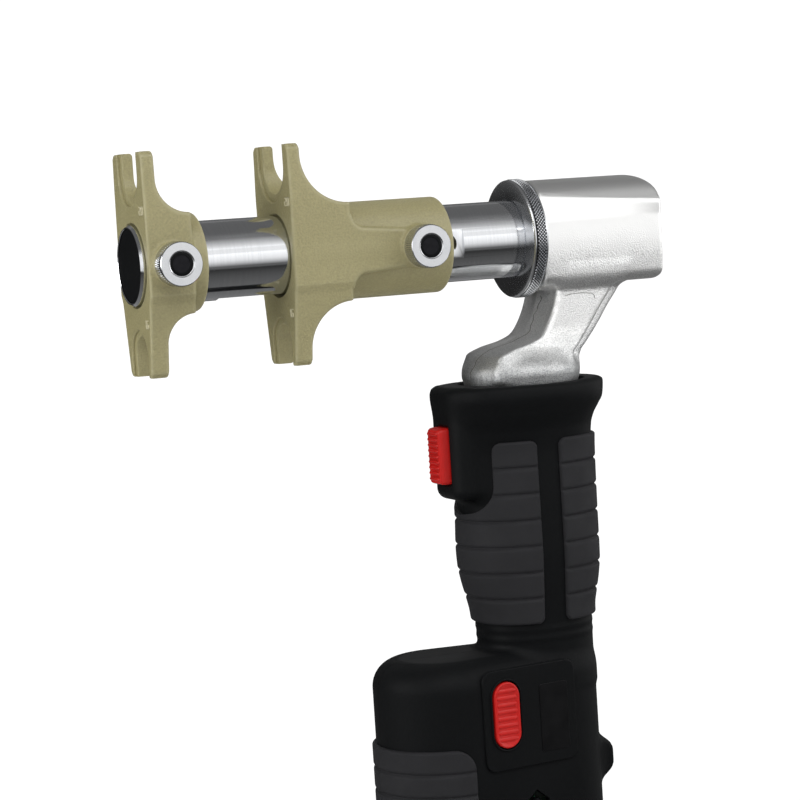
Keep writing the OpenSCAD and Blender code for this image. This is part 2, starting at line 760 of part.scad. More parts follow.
module pump_shaft() {
  color(steel) translate([grip_x, 0, 0]) union() {
    translate([0, 0, plate_z]) cylinder(r = 4, h = cam_z - plate_z + 1);
    translate([throw, 0, cam_z]) cylinder(r = cam_r, h = 7.5);
    translate([0, 0, cam_z + 7]) cylinder(r = 3, h = 10);
  }
}

module eccentric_bearing() {
  color(chrome) translate([grip_x + throw, 0, cam_z + 0.3]) ring(cam_ring_r, cam_r + seat_fit, 7);
}

// The head: press cylinder, leaning arm, round base and the spigot it swivels on.
arm_rows = [[1, -18, 20, 15.5], [10, -16.5, 22.5, 15.5], [12.5, -11.5, 24.8, 15], [14.5, -3.5, 26.6, 14.5],
  [16.5, 1, 28.3, 14.2], [20, 3.9, 31, 14], [25.4, 6.7, 34.8, 14], [30, 8.3, 38.4, 14], [40, 11, 45.5, 15]];
module arm() {
  function nose(f, b) = [[f + 6, -b], [f + 3.4, 0.4 - b], [f + 2, 1.6 - b], [f + 1.3, 4 - b], [f, -1], [f, 1],
    [f + 1.3, b - 4], [f + 2, b - 1.6], [f + 3.4, b - 0.4], [f + 6, b]];
  function edge(r) = let (f = r[1], e = r[2], b = r[3]) concat(nose(f, b),
    [[e - 10, b], [e - 6.5, b * 0.62], [e - 5, b * 0.6], [e, b * 0.45], [e, -b * 0.45], [e - 5, -b * 0.6],
      [e - 6.5, -b * 0.62], [e - 10, -b]]);
  skin([for (r = arm_rows) [for (k = [17 : -1 : 0]) let (p = edge(r)[k])
    [grip_x + p[0], p[1], collar_z + r[0]]]]);
}

module head_casting() {
  color(cast) difference() {
    union() {
      intersection() {
        translate([head_front, 0, press_z]) rotate([0, 90, 0]) rotate_extrude() union() {
          square([head_d / 2, head_len - 8]);
          square([head_d / 2 - 8, head_len]);
          intersection() {
            translate([head_d / 2 - 8, head_len - 8]) circle(8);
            translate([head_d / 2 - 9, head_len - 9]) square(20);
          }
        }
        translate([head_front - 1, -cheek_half, press_z - head_d])
          cube([head_len + 2, 2 * cheek_half, 2 * head_d]);
      }
      translate([nut_x + 4.2, 0, press_z]) rotate([0, 90, 0]) cylinder(r = bore_r + 3, h = nut_w - 3);
      arm();
      translate([grip_x, 0, recess_z + 0.4]) rotate_extrude() polygon(concat([[0, 0], [base_r, 0]],
        [for (t = [0 : 15 : 75]) [base_r - 5 + 5 * cos(t), 10.6 + 5 * sin(t)]],
        [[base_r - 12, 18.6], [0, 19.6]]));
      translate([grip_x, 0, spigot_z + 1]) cylinder(r = spigot_d / 2, h = recess_z - spigot_z);
    }
    translate([nut_x, 0, press_z]) rotate([0, 90, 0]) cylinder(r = bore_r, h = bore_end - nut_x);
    translate([grip_x, 0, ring_z]) ring(spigot_d, spigot_d / 2 - 2, 2.4);
    translate([grip_x, 0, spigot_z + 3.5]) ring(spigot_d, spigot_d / 2 - 1.8, 2.4);
    // oil way from the spigot to the front of the piston
    translate([grip_x, 0, spigot_z])
      rotate([0, atan((piston_x - 0.8 - grip_x) / (press_z - bore_r - spigot_z)), 0])
      cylinder(r = 1.5, h = press_z - bore_r - spigot_z + 6);
  }
}

module gland_nut() {
  color(chrome) translate([nut_x, 0, press_z]) rotate([0, 90, 0]) difference() {
    union() {
      cylinder(r1 = nut_d / 2 - 0.6, r2 = nut_d / 2, h = 0.6);
      translate([0, 0, 0.6]) cylinder(r = nut_d / 2, h = nut_w - 1.3);
      translate([0, 0, nut_w - 0.7]) cylinder(r1 = nut_d / 2, r2 = nut_d / 2 - 0.6, h = 0.6);
    }
    translate([0, 0, -1]) cylinder(r = rod_r + 0.1, h = 10);
    translate([0, 0, 2]) cylinder(r = bore_r + 3 + 0.1, h = 10);
  }
}

module along_x(x) {
  translate([x, 0, press_z]) rotate([0, 90, 0]) children();
}

// Drills an index hole for a lock pin, from the left side of a rod.
module index_hole(x, r) {
  translate([x, -rod_r - 1, press_z]) rotate([-90, 0, 0]) cylinder(r = r, h = 6);
}

module guide_tube() {
  color(chrome) difference() {
    union() {
      along_x(tube_start) cylinder(r = rod_r, h = nut_x + 2.1 - tube_start);
      along_x(nut_x + 2.05) cylinder(r = bore_r + 2.9, h = 2.05);
      along_x(nut_x + 4) cylinder(r = bore_r - seat_fit, h = piston_x - 1.6 - nut_x - 4);
    }
    along_x(tube_start - 1) cylinder(r = pull_r + run_fit, h = 100);
    index_hole(inner_pin_x, pin_d / 2 + run_fit);
    index_hole(inner_pin_x + 12, pin_d / 2 + 0.7);
    translate([inner_pin_x + 4, -rod_r - 9, press_z - 8]) cube([14.2, 10, 16]);
  }
}

// Side view of a yoke: fork tips, concave flares and hub, from the face backward.
function flare(t, fork) = let (r = fork - t)
  concat([[0, yoke_half_h], [t - 1.5, yoke_half_h], [t, yoke_half_h - 1.5]],
    [for (a = [0 : 9 : 90]) if (hub_r + r - r * sin(a) < yoke_half_h - 1.6)
      [fork - r * cos(a), hub_r + r - r * sin(a)]], [[fork + 0.5, hub_r - 0.4]]);
module yoke_side(fork) {
  up = flare(prong_up, fork);
  low = flare(prong_low, fork);
  polygon(concat(up, [for (k = [len(low) - 1 : -1 : 0]) [low[k][0], -low[k][1]]]));
}

// Face view of a yoke: broad above, stepped in below the hub.
module yoke_face(top, low) {
  h = yoke_half_h;
  pts = [[top - 1.5, h], [top, h - 1.5], [top + 0.7, 20], [hub_r + 0.1, 4], [hub_r + 0.1, -10.5],
    [low + 3.9, -13.5], [low + 2, -25], [low, 1.5 - h], [low - 1.5, -h]];
  polygon(concat(pts, [for (k = [len(pts) - 1 : -1 : 0]) [-pts[k][0], pts[k][1]]]));
}

module seat_cut(r, up, face, depth) {
  translate([face, 0, press_z + up * seat_rise]) {
    rotate([0, 90, 0]) cylinder(r = r, h = depth);
    translate([0, -r, up > 0 ? 0 : -30]) cube([depth, 2 * r, 30]);
  }
}

// Rib along the side of a yoke: it leaves the hub's back in two arcs and narrows to the lock.
module lock_rib(back, pin_x) {
  r = 5;
  far = max(pin_x, back);
  arc = [for (t = [0 : 15 : 90]) [back + r - r * cos(t), rib_half + r - r * sin(t)]];
  pts = pin_x < back + r ? [[back - 12, rib_half], [pin_x, rib_half]]
    : concat([[back - 12, rib_half + r], [back - 0.5, rib_half + r]], arc, [[far, rib_half - 1.8]]);
  translate([0, 0, press_z]) rotate([90, 0, 0]) linear_extrude(hub_r + 0.1)
    polygon(concat(pts, [for (k = [len(pts) - 1 : -1 : 0]) [pts[k][0], -pts[k][1]]]));
}

module yoke(face, len, fork, top, low, up_r, low_r, pin_x) {
  difference() {
    union() {
      intersection() {
        translate([face, 0, press_z]) rotate([90, 0, 0]) linear_extrude(60, center = true)
          yoke_side(fork);
        translate([face - 1, 0, press_z]) rotate([90, 0, 90]) linear_extrude(fork + 2)
          yoke_face(top, low);
      }
      along_x(face + 12) cylinder(r = hub_r, h = len - 12);
      translate([pin_x, 0, press_z]) rotate([90, 0, 0]) cylinder(r = knob_d / 2 - 0.3, h = boss_y);
      lock_rib(face + fork + 0.5, pin_x);
    }
    along_x(face - 2) cylinder(r = rod_r + run_fit, h = len + 4);
    seat_cut(up_r, 1, face - 1, 30);
    seat_cut(low_r, -1, face - 1, 30);
    seat_cut(up_r + seat_step, 1, face - 1, 1 + seat_step_d);
    seat_cut(low_r + seat_step - 0.8, -1, face - 1, 1 + seat_step_d);
    translate([pin_x, 0, press_z]) rotate([90, 0, 0]) cylinder(r = bush_d / 2, h = 40);
  }
}

module inner_yoke() {
  color(khaki) yoke(inner_face, inner_len, inner_fork, 17.2, 12.4, inner_up_r, inner_low_r, inner_pin_x);
}

module outer_yoke() {
  color(khaki) yoke(outer_face, outer_len, outer_fork, 16.3, 11.8, outer_up_r, outer_low_r, outer_pin_x);
}

// Lock pieces, built along z from the press axis outward and laid onto the left side.
module lock_at(x) {
  translate([x, 0, press_z]) rotate([90, 0, 0]) children();
}
bush_end = boss_y + 4.5;
bush_start = rod_r + 0.3;

module lock_bush(x) {
  lock_at(x) difference() {
    translate([0, 0, bush_start]) cylinder(r = bush_d / 2 - seat_fit, h = bush_end - bush_start);
    translate([0, 0, bush_start - 1]) cylinder(r = 4.2, h = bush_end - bush_start - 0.2);
    cylinder(r = 2 + run_fit, h = 40);
  }
}

module lock_knob(x) {
  lock_at(x) difference() {
    translate([0, 0, boss_y + loose]) cylinder(r = knob_d / 2, h = knob_len);
    translate([0, 0, boss_y]) cylinder(r = bush_d / 2 + 0.7, h = bush_end - boss_y + 0.6);
    cylinder(r = 2 + seat_fit, h = 60);
    translate([0, 0, boss_y + loose + knob_len - 1.2]) cylinder(r = 4.15, h = 3);
  }
}

module lock_pin(x) {
  lock_at(x) union() {
    translate([0, 0, rod_r - pin_in]) cylinder(r = pin_d / 2, h = pin_in + 0.8);
    translate([0, 0, rod_r + 0.6]) cylinder(r = 4, h = 1.2);
    translate([0, 0, rod_r + 1.5]) cylinder(r = 2, h = boss_y + loose + knob_len - rod_r - 2.2);
    translate([0, 0, boss_y + loose + knob_len - 1.15]) cylinder(r = 4.1, h = 0.7);
  }
}

module lock_spring(x) {
  lock_at(x) translate([0, 0, rod_r + 1.9]) coil(3.1, 0.3, bush_end - 1.4 - rod_r - 1.9, 4);
}

module inner_bush() {
  color(steel) lock_bush(inner_pin_x);
}

module inner_knob() {
  color(chrome) lock_knob(inner_pin_x);
}

module inner_pin() {
  color(black) lock_pin(inner_pin_x);
}

module inner_spring() {
  color(steel) lock_spring(inner_pin_x);
}

module outer_bush() {
  color(steel) lock_bush(outer_pin_x);
}

module outer_knob() {
  color(chrome) lock_knob(outer_pin_x);
}

module outer_pin() {
  color(black) lock_pin(outer_pin_x);
}

module outer_spring() {
  color(steel) lock_spring(outer_pin_x);
}

// The moving rod: carrier in front, pull rod through the guide tube, piston at the back.
carrier_x = outer_face - 1.7;
carrier_end = inner_face + carrier_in;
pull_start = carrier_end - 20;
module yoke_carrier() {
  color(chrome) difference() {
    union() {
      along_x(carrier_x) cylinder(r1 = rod_r - 1.2, r2 = rod_r, h = 1.2);
      along_x(carrier_x + 1.2) cylinder(r = rod_r, h = carrier_end - carrier_x - 1.2);
    }
    along_x(pull_start - 0.5) cylinder(r = pull_r + seat_fit, h = 40);
    along_x(carrier_x - 1) cylinder(r = rod_r - 2.2, h = 3);
    index_hole(outer_pin_x, pin_d / 2 + run_fit);
    translate([inner_face - 24, -7, press_z - rod_r - 1]) cube([50, 14, 1.8]);
  }
}

module rod_cap() {
  color(black) along_x(carrier_x + 0.3) cylinder(r = rod_r - 2.2 - seat_fit, h = 1.65);
}

spring_start = grip_x - 19.5;
module pull_rod() {
  color(steel) difference() {
    along_x(pull_start) cylinder(r = pull_r, h = piston_x + piston_w + 4 - pull_start);
    along_x(spring_start) cylinder(r = pull_r - 2.5, h = 100);
  }
}

module piston() {
  color(steel) along_x(piston_x) difference() {
    cylinder(r = bore_r - 0.1, h = piston_w);
    translate([0, 0, -1]) cylinder(r = pull_r + seat_fit, h = 20);
    translate([0, 0, 2.4]) ring(bore_r + 2, bore_r - 2.6, 3.2);
  }
}

module piston_seal() {
  color(rubber) along_x(piston_x + 2.45) ring(bore_r - run_fit, bore_r - 2.55, 3.1);
}

module piston_nut() {
  color(steel) along_x(piston_x + piston_w + 0.05) difference() {
    cylinder(r = 11, h = 3.9, $fn = 6);
    translate([0, 0, -1]) cylinder(r = pull_r + seat_fit, h = 10);
  }
}

module return_spring() {
  color(steel) along_x(spring_start + 0.2) coil(pull_r - 3.4, 0.6, bore_end - spring_start - 0.4, 11);
}

// The pack: tray, cover with rails, ten cells and a front latch.
latch_low = battery_h - 38;
module latch_pocket() {
  translate([-pack_len / 2 - 1, -15, latch_low]) cube([7, 30, battery_h - latch_low + 1]);
}

module battery_tray() {
  color(black) difference() {
    linear_extrude(battery_h - 18) plate_outline(pack_len, pack_w, pack_r);
    translate([0, 0, pack_wall]) linear_extrude(60)
      plate_outline(pack_len - 2 * pack_wall, pack_w - 2 * pack_wall, pack_r - pack_wall);
    latch_pocket();
  }
}

module battery_cover() {
  color(black) difference() {
    union() {
      translate([0, 0, battery_h - 17.9]) linear_extrude(17.9) plate_outline(pack_len, pack_w, pack_r);
      translate([rail_start, -rail_w / 2, battery_h - 1]) cube([rail_end - rail_start, rail_w, 6]);
      translate([rail_start, -rail_w / 2 - rail_lip, battery_h + 4])
        cube([rail_end - rail_start, rail_w + 2 * rail_lip, 5]);
    }
    translate([0, 0, battery_h - 30]) linear_extrude(30 - pack_wall)
      plate_outline(pack_len - 2 * pack_wall, pack_w - 2 * pack_wall, pack_r - pack_wall);
    translate([-22, -15.5, battery_h + 2.5]) cube([100, 31, 20]);
    latch_pocket();
  }
}

// Two layers of as many cells as the tray is long for; their ends keep off its sides.
cell_pitch = cell_d + 0.4;
cell_room = pack_len - 2 * pack_wall - 6;
cell_count = floor(cell_room / cell_pitch);
cell_len = pack_w - 2 * (pack_wall + cell_gap);
module battery_cells() {
  color([0.2, 0.45, 0.7]) for (k = [0 : cell_count - 1], j = [0, 1])
    translate([(k - (cell_count - 1) / 2) * cell_pitch + 2.5, cell_len / 2,
      pack_wall + 0.3 + cell_d / 2 + j * cell_pitch]) rotate([90, 0, 0]) cylinder(r = cell_d / 2, h = cell_len);
}

module battery_latch() {
  color(red) difference() {
    union() {
      translate([-pack_len / 2 + 0.2, -14.6, latch_low + 11])
        cube([4.6, 29.2, battery_h - latch_low - 12.5]);
      translate([-pack_len / 2 + 0.2, -8, battery_h - 2]) cube([3, 16, 4.5]);
    }
    for (k = [0 : 4]) translate([-pack_len / 2 - 1, -12, latch_low + 13 + 2.6 * k]) cube([1.8, 24, 1.2]);
  }
}

module latch_spring() {
  color(steel) translate([-pack_len / 2 + 2.6, 0, latch_low + 0.2]) coil(1.6, 0.35, 10.6, 6);
}

left_housing();
right_housing();
left_front_pad();
right_front_pad();
left_rear_pad();
right_rear_pad();
left_lower_pad();
right_lower_pad();
housing_screws();
pump_block();
oil_bladder();
pump_plunger();
swivel_ring();
swivel_seal();
trigger_switch();
trigger_spring();
return_switch();
return_dome();
control_board();
terminal_block();
gear_plate();
idler_pin();
motor_can();
motor_cap();
motor_magnets();
trigger();
release_button();
rotor();
motor_pinion();
idler_gear();
pump_gear();
pump_shaft();
eccentric_bearing();
head_casting();
gland_nut();
guide_tube();
inner_yoke();
inner_bush();
inner_knob();
inner_pin();
inner_spring();
outer_yoke();
yoke_carrier();
rod_cap();
pull_rod();
piston();
piston_seal();
piston_nut();
return_spring();
outer_bush();
outer_knob();
outer_pin();
outer_spring();
battery_tray();
battery_cover();
battery_cells();
battery_latch();
latch_spring();
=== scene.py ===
"""Dressed model of a cordless axial pipe press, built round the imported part."""

import json
import math

import bmesh
import bpy
import numpy as np
from mathutils import Matrix, Vector


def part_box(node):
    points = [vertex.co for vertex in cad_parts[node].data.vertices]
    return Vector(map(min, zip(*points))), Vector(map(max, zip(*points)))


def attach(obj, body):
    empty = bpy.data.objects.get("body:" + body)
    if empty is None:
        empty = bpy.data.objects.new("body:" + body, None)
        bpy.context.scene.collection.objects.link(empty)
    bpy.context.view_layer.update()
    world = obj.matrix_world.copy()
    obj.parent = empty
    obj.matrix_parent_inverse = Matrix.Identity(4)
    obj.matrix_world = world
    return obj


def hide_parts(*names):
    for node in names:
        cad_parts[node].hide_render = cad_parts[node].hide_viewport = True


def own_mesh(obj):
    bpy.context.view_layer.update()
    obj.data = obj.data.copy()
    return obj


bl_info = {
    "name": "Axial pipe press",
    "version": (1, 0, 0),
    "blender": (4, 5, 0),
    "location": "View3D > Sidebar > Press",
    "description": "Builds the housing, pads, head, yokes and stage of an axial pipe press",
    "category": "Object",
}

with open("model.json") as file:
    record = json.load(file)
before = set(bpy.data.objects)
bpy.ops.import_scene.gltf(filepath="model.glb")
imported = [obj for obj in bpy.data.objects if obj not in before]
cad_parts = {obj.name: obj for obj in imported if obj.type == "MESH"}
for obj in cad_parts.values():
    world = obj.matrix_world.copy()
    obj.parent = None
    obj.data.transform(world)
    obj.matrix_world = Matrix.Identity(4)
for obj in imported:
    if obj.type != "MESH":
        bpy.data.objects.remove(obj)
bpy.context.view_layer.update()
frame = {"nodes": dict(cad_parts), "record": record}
MM = 1000.0


def low(node):
    """Lowest corner of a CAD node in millimetres."""
    return np.array(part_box(node)[0]) * MM


def high(node):
    """Highest corner of a CAD node in millimetres."""
    return np.array(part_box(node)[1]) * MM


def middle(node):
    """Middle of a CAD node in millimetres."""
    return (low(node) + high(node)) / 2


# Directions: along the press line from the yokes to the head, its reverse, left, right and up.
ALONG, AHEAD = (1, 0, 0), (-1, 0, 0)
LEFT, RIGHT, UP = (0, -1, 0), (0, 1, 0), (0, 0, 1)

# The two sides of the housing, by the sign of y.
SIDES = ((-1, "left"), (1, "right"))

# Places taken from the frame and driving sizes, in millimetres.
GRIP_X = middle("swivel_ring")[0]
MOTOR_X = middle("motor_can")[0]
COLLAR_Z = high("left_housing")[2]
PRESS_Z = middle("gland_nut")[2]
LOWER_TOP = low("gear_plate")[2] + 24.7
FOOT_TOP = low("control_board")[2] + 2.7
PACK_TOP = high("battery_tray")[2] + 18
INNER_FACE = low("inner_yoke")[0]
OUTER_FACE = low("outer_yoke")[0]
NUT_X = low("gland_nut")[0]
HEAD_FRONT = high("gland_nut")[0] + 0.1
HEAD_END = high("head_casting")[0]
INNER_PIN_X = middle("inner_pin")[0]
OUTER_PIN_X = middle("outer_pin")[0]
RECESS_Z = COLLAR_Z - 6.8
REAR_X = GRIP_X + 1.1
FRONT_R = MOTOR_X - (low("left_lower_pad")[0] + 1.5)
REAR_R = 20.0
WALL = 2.4
SIDE_SIN = (FRONT_R - REAR_R) / (REAR_X - MOTOR_X)
SIDE_COS = math.sqrt(1 - SIDE_SIN**2)
TRIGGER_Z = low("trigger")[2] + 2
TRIGGER_FRONT = low("trigger")[0]
TRIGGER_W = 10.6
BLOCK_FRONT = TRIGGER_FRONT + 2.7
BLOCK_MID = (BLOCK_FRONT + GRIP_X - 11) / 2
BLOCK_HALF = 12.5
BLOCK_FOOT = COLLAR_Z - 41
ROOF_DEPTH = 9.5
RIM_DEPTHS = 89.2, 92.6
RIM_WIDE, RIM_RISE = 0.9, 0.22
FOOT_LONG, FOOT_WIDE = 56.5, 37
FOOT_CORNER, FOOT_RISE = 15, 6.5
LUG_DEPTH = 45
LUG_LONG, LUG_TALL, LUG_WIDE = 5.9, 6.8, 7
VENT_X, VENT_Z, VENT_GAP = GRIP_X - 14, LOWER_TOP - 52.3, 9
RAIL_HALF, RAIL_END = 24.3, 52.8
BUTTON_X, BUTTON_Z = GRIP_X - 25.3, LOWER_TOP - 20
BUTTON_W, BUTTON_H = 10.8, 24.0
PANEL_X, PANEL_Z = GRIP_X - 15.2, LOWER_TOP - 21.8
PANEL_W, PANEL_H = 39.2, 36.6
LABEL_X, LABEL_Z = GRIP_X - 5.2, LOWER_TOP - 23.4
LABEL_W, LABEL_H = 12, 24.6
SCREWS = [
    (GRIP_X + 18.6, COLLAR_Z - 30),
    (GRIP_X + 18.4, COLLAR_Z - 66),
    (GRIP_X - 20.2, COLLAR_Z - 60),
    (REAR_X + REAR_R - 6.4, LOWER_TOP - 31),
    (REAR_X + REAR_R - 6.4, FOOT_TOP + 12),
    (MOTOR_X - FRONT_R + 6.4, LOWER_TOP - 14),
    (MOTOR_X - FRONT_R + 6.4, FOOT_TOP + 3),
]
BOSS_R, SHANK_R, SCREW_SEAT_R = 3.3, 1.6, 2.9
GRIP_POWER = 2.3
ROD_R = 14.0
BORE_R = 15.0
HUB_R = 17.2
BASE_R = 22.0
PIN_HOLE_R = 3.05
PIPE_SIZES = "20", "16"

# Edges that bend by more degrees than these are shaded sharp: in general, and on certain kinds of piece.
SHARP = 38
CAST_SHARP = PAD_SHARP = 50
BEVEL_SHARP = 45
ROD_SHARP = 30
RIDGE_SHARP = 20
TRIM_SHARP = 15


def linear(code):
    """An sRGB hex value as linear red, green and blue."""
    parts = [int(code[k : k + 2], 16) / 255 for k in (0, 2, 4)]
    return tuple(p / 12.92 if p <= 0.04045 else ((p + 0.055) / 1.055) ** 2.4 for p in parts)


# Curves and outlines


def curve(rows):
    """A smooth curve through rows of (place, value) that doesn't overshoot them."""
    x, y = (np.array(c, float) for c in zip(*rows))
    h = np.diff(x)
    slope = np.diff(y) / h
    grade = np.zeros_like(y)
    same = slope[:-1] * slope[1:] > 0
    a, b = 2 * h[1:] + h[:-1], h[1:] + 2 * h[:-1]
    mean = (a + b) / (a / np.where(same, slope[:-1], 1) + b / np.where(same, slope[1:], 1))
    grade[1:-1] = np.where(same, mean, 0)
    grade[0], grade[-1] = slope[0], slope[-1]
    fine = np.linspace(x[0], x[-1], 1500)
    k = np.clip(np.searchsorted(x, fine, side="right") - 1, 0, len(h) - 1)
    t = (fine - x[k]) / h[k]
    value = (
        (1 + 2 * t) * (1 - t) ** 2 * y[k]
        + t * (1 - t) ** 2 * h[k] * grade[k]
        + t * t * (3 - 2 * t) * y[k + 1]
        + t * t * (t - 1) * h[k] * grade[k + 1]
    )
    return lambda at: np.interp(at, fine, value)


# Front, rear and half width of the grip at a depth below the collar.
grip_front = curve(
    [(0, -32.4), (1.2, -33), (4, -33.2), (10, -31.5), (17, -28.2), (26, -26.2), (48, -26.1), (60, -26.5)]
    + [(66, -26.3), (72, -25.3), (78, -23.8), (84, -22.5), (90, -22), (105, -21.6)]
)
grip_rear = curve(
    [(0, 29.4), (1.2, 30.1), (4, 29.9), (7, 29.5), (10, 27.8), (13, 26), (17, 24.8), (26, 24.2), (48, 23.8)]
    + [(66, 23.7), (72, 23), (78, 21.8), (84, 20.7), (105, 20.6)]
)
grip_half = curve(
    [(0, 24.2), (1.2, 25), (4, 25.4), (10, 23.85), (17, 21.36), (26, 20.4), (45, 20.5), (60, 20.5)]
    + [(72, 19.82), (84, 18.88), (93, 18.45), (105, 18.25)]
)


def signed_power(value, power):
    """A power that keeps the value's sign."""
    return np.sign(value) * np.abs(value) ** power


def grip_point(depth, turn, out):
    """A point on the grip at a depth and a turn, moved outward."""
    front, rear = grip_front(depth), grip_rear(depth)
    x = GRIP_X + (front + rear) / 2 + ((rear - front) / 2 + out) * signed_power(np.cos(turn), 2 / GRIP_POWER)
    y = (grip_half(depth) + out) * signed_power(np.sin(turn), 2 / GRIP_POWER)
    return np.stack(np.broadcast_arrays(x, y, COLLAR_Z - depth), -1)


def grip_turn(depth, x):
    """The turn at which the grip's surface has this place along the grip."""
    front, rear = grip_front(depth), grip_rear(depth)
    share = np.clip((x - (front + rear) / 2) * 2 / (rear - front), -1, 1)
    return np.arccos(signed_power(share, GRIP_POWER / 2))


def on_circle(radius, turns):
    """Points on a circle at these turns."""
    return radius * np.stack([np.cos(turns), np.sin(turns)], 1)


def circle(radius, count=96):
    """Outline of a circle."""
    return on_circle(radius, np.linspace(0, 2 * np.pi, count, endpoint=False))


def rounded(width, height, radius, count=10):
    """Outline of a rectangle with round corners, counter-clockwise."""
    turns = np.linspace(0, np.pi / 2, count)
    parts = []
    for k, (sx, sy) in enumerate(((1, 1), (-1, 1), (-1, -1), (1, -1))):
        middle_of = [sx * (width / 2 - radius), sy * (height / 2 - radius)]
        parts.append(on_circle(radius, turns + k * np.pi / 2) + middle_of)
    return np.concatenate(parts)


def stadium(width, height, count=24):
    """Outline of a slot with round ends."""
    return rounded(width, height, width / 2 - 1e-3, count)


def notch(radius, reach, count=32):
    """Outline of a round-bottomed slot that is open upward."""
    arc = on_circle(radius, np.linspace(np.pi, 2 * np.pi, count))
    return np.concatenate([arc, [[radius, reach], [-radius, reach]]])


# Meshes


def put(name, data):
    """A new object in the scene."""
    thing = bpy.data.objects.new(name, data)
    bpy.context.scene.collection.objects.link(thing)
    return thing


def clear_away(thing):
    """Takes a piece and its mesh out of the file."""
    mesh = thing.data
    bpy.data.objects.remove(thing)
    bpy.data.meshes.remove(mesh)


def piece(name, points, faces, material=None, sharp=SHARP):
    """A new object from points in millimetres, with smooth faces and edges sharp past an angle."""
    mesh = bpy.data.meshes.new(name)
    mesh.from_pydata((np.asarray(points, float) / MM).tolist(), [], [list(map(int, f)) for f in faces])
    work = bmesh.new()
    work.from_mesh(mesh)
    bmesh.ops.recalc_face_normals(work, faces=work.faces)
    work.to_mesh(mesh)
    work.free()
    if material:
        mesh.materials.append(material)
    thing = put(name, mesh)
    dress(thing, sharp)
    return thing


def dress(thing, sharp=SHARP):
    """Smooth shading with edges kept sharp past an angle."""
    mesh = thing.data
    mesh.polygons.foreach_set("use_smooth", [True] * len(mesh.polygons))
    mesh.set_sharp_from_angle(angle=math.radians(sharp))
    mesh.update()


def tower(name, loops, material=None, closed=False, sharp=SHARP):
    """A solid through a stack of loops with the same count of points, capped or closed on itself."""
    loops = [np.asarray(loop, float) for loop in loops]
    n, m = len(loops[0]), len(loops)
    faces = []
    for k in range(m if closed else m - 1):
        a, b = k * n, (k + 1) % m * n
        faces += [(a + i, a + (i + 1) % n, b + (i + 1) % n, b + i) for i in range(n)]
    if not closed:
        faces += [tuple(range(n - 1, -1, -1)), tuple(range((m - 1) * n, m * n))]
    return piece(name, np.concatenate(loops), faces, material, sharp)


def lay(flat, frame_of, out):
    """A flat outline laid in a frame of (origin, first axis, second axis, outward axis)."""
    origin, first, second, outward = (np.asarray(v, float) for v in frame_of)
    return origin + flat[:, :1] * first + flat[:, 1:] * second + out * outward


def stack(name, shape, place, steps, material=None, closed=False, sharp=SHARP):
    """A solid through the outlines that a function gives for steps of (measure, run) in a frame."""
    return tower(name, [lay(shape(g), place, run) for g, run in steps], material, closed, sharp)


def turned(name, profile, place, axis, material=None, closed=False, count=160, sharp=SHARP):
    """A turned part: a profile of (radius, run) about an axis through a place."""
    first = np.array([0, 0, 1.0]) if abs(axis[2]) < 0.5 else np.array([1.0, 0, 0])
    second = np.cross(axis, first)
    frame_of = place, first, second, axis
    return stack(name, lambda r: circle(r, count), frame_of, profile, material, closed, sharp)


def block_of(name, lowest, highest, material=None):
    """A plain block."""
    (x0, y0, z0), (x1, y1, z1) = lowest, highest
    loops = [[(x0, y0, z), (x1, y0, z), (x1, y1, z), (x0, y1, z)] for z in (z0, z1)]
    return tower(name, loops, material)


def settle(thing):
    """Applies the modifiers of a piece to its mesh."""
    bpy.context.view_layer.update()
    graph = bpy.context.evaluated_depsgraph_get()
    mesh = bpy.data.meshes.new_from_object(thing.evaluated_get(graph), depsgraph=graph)
    old = thing.data
    thing.modifiers.clear()
    thing.data = mesh
    bpy.data.meshes.remove(old)


def carve(thing, *tools, way="DIFFERENCE", sharp=SHARP):
    """Cuts or joins a piece with tools, one after the other, and clears the tools away."""
    for tool in tools:
        before = len(thing.data.vertices)
        step = thing.modifiers.new("carve", "BOOLEAN")
        step.operation, step.object, step.solver = way, tool, "MANIFOLD"
        settle(thing)
        if len(thing.data.vertices) in (0, before):
            raise RuntimeError(f"{thing.name} is not cut by {tool.name}")
        clear_away(tool)
    dress(thing, sharp)
    return thing


# Distance fields: each returns the distance to a form, negative inside

# The last number in join, meet and plate is the radius of the fillet, edge or corner in millimetres.


def join(a, b, r):
    """Both forms, with a fillet between them."""
    return np.maximum(r, np.minimum(a, b)) - np.hypot(np.maximum(r - a, 0), np.maximum(r - b, 0))


def meet(a, b, r):
    """What the forms share, with its edge rounded."""
    return np.minimum(-r, np.maximum(a, b)) + np.hypot(np.maximum(r + a, 0), np.maximum(r + b, 0))


def plate(u, v, half_u, half_v, r):
    """A rectangle with round corners."""
    du, dv = np.abs(u) - (half_u - r), np.abs(v) - (half_v - r)
    return np.hypot(np.maximum(du, 0), np.maximum(dv, 0)) + np.minimum(np.maximum(du, dv), 0) - r


def outline(u, v, points):
    """A polygon."""
    points = [np.asarray(p, float) for p in points]
    best, sign = 1e9, 1.0
    for a, b in zip(points, points[1:] + points[:1]):
        eu, ev = b - a
        wu, wv = u - a[0], v - a[1]
        t = np.clip((wu * eu + wv * ev) / (eu * eu + ev * ev), 0, 1)
        best = np.minimum(best, (wu - eu * t) ** 2 + (wv - ev * t) ** 2)
        side = eu * wv > ev * wu
        above, below = v >= a[1], v < b[1]
        sign = np.where((above & below & side) | (~above & ~below & ~side), -sign, sign)
    return sign * np.sqrt(best)


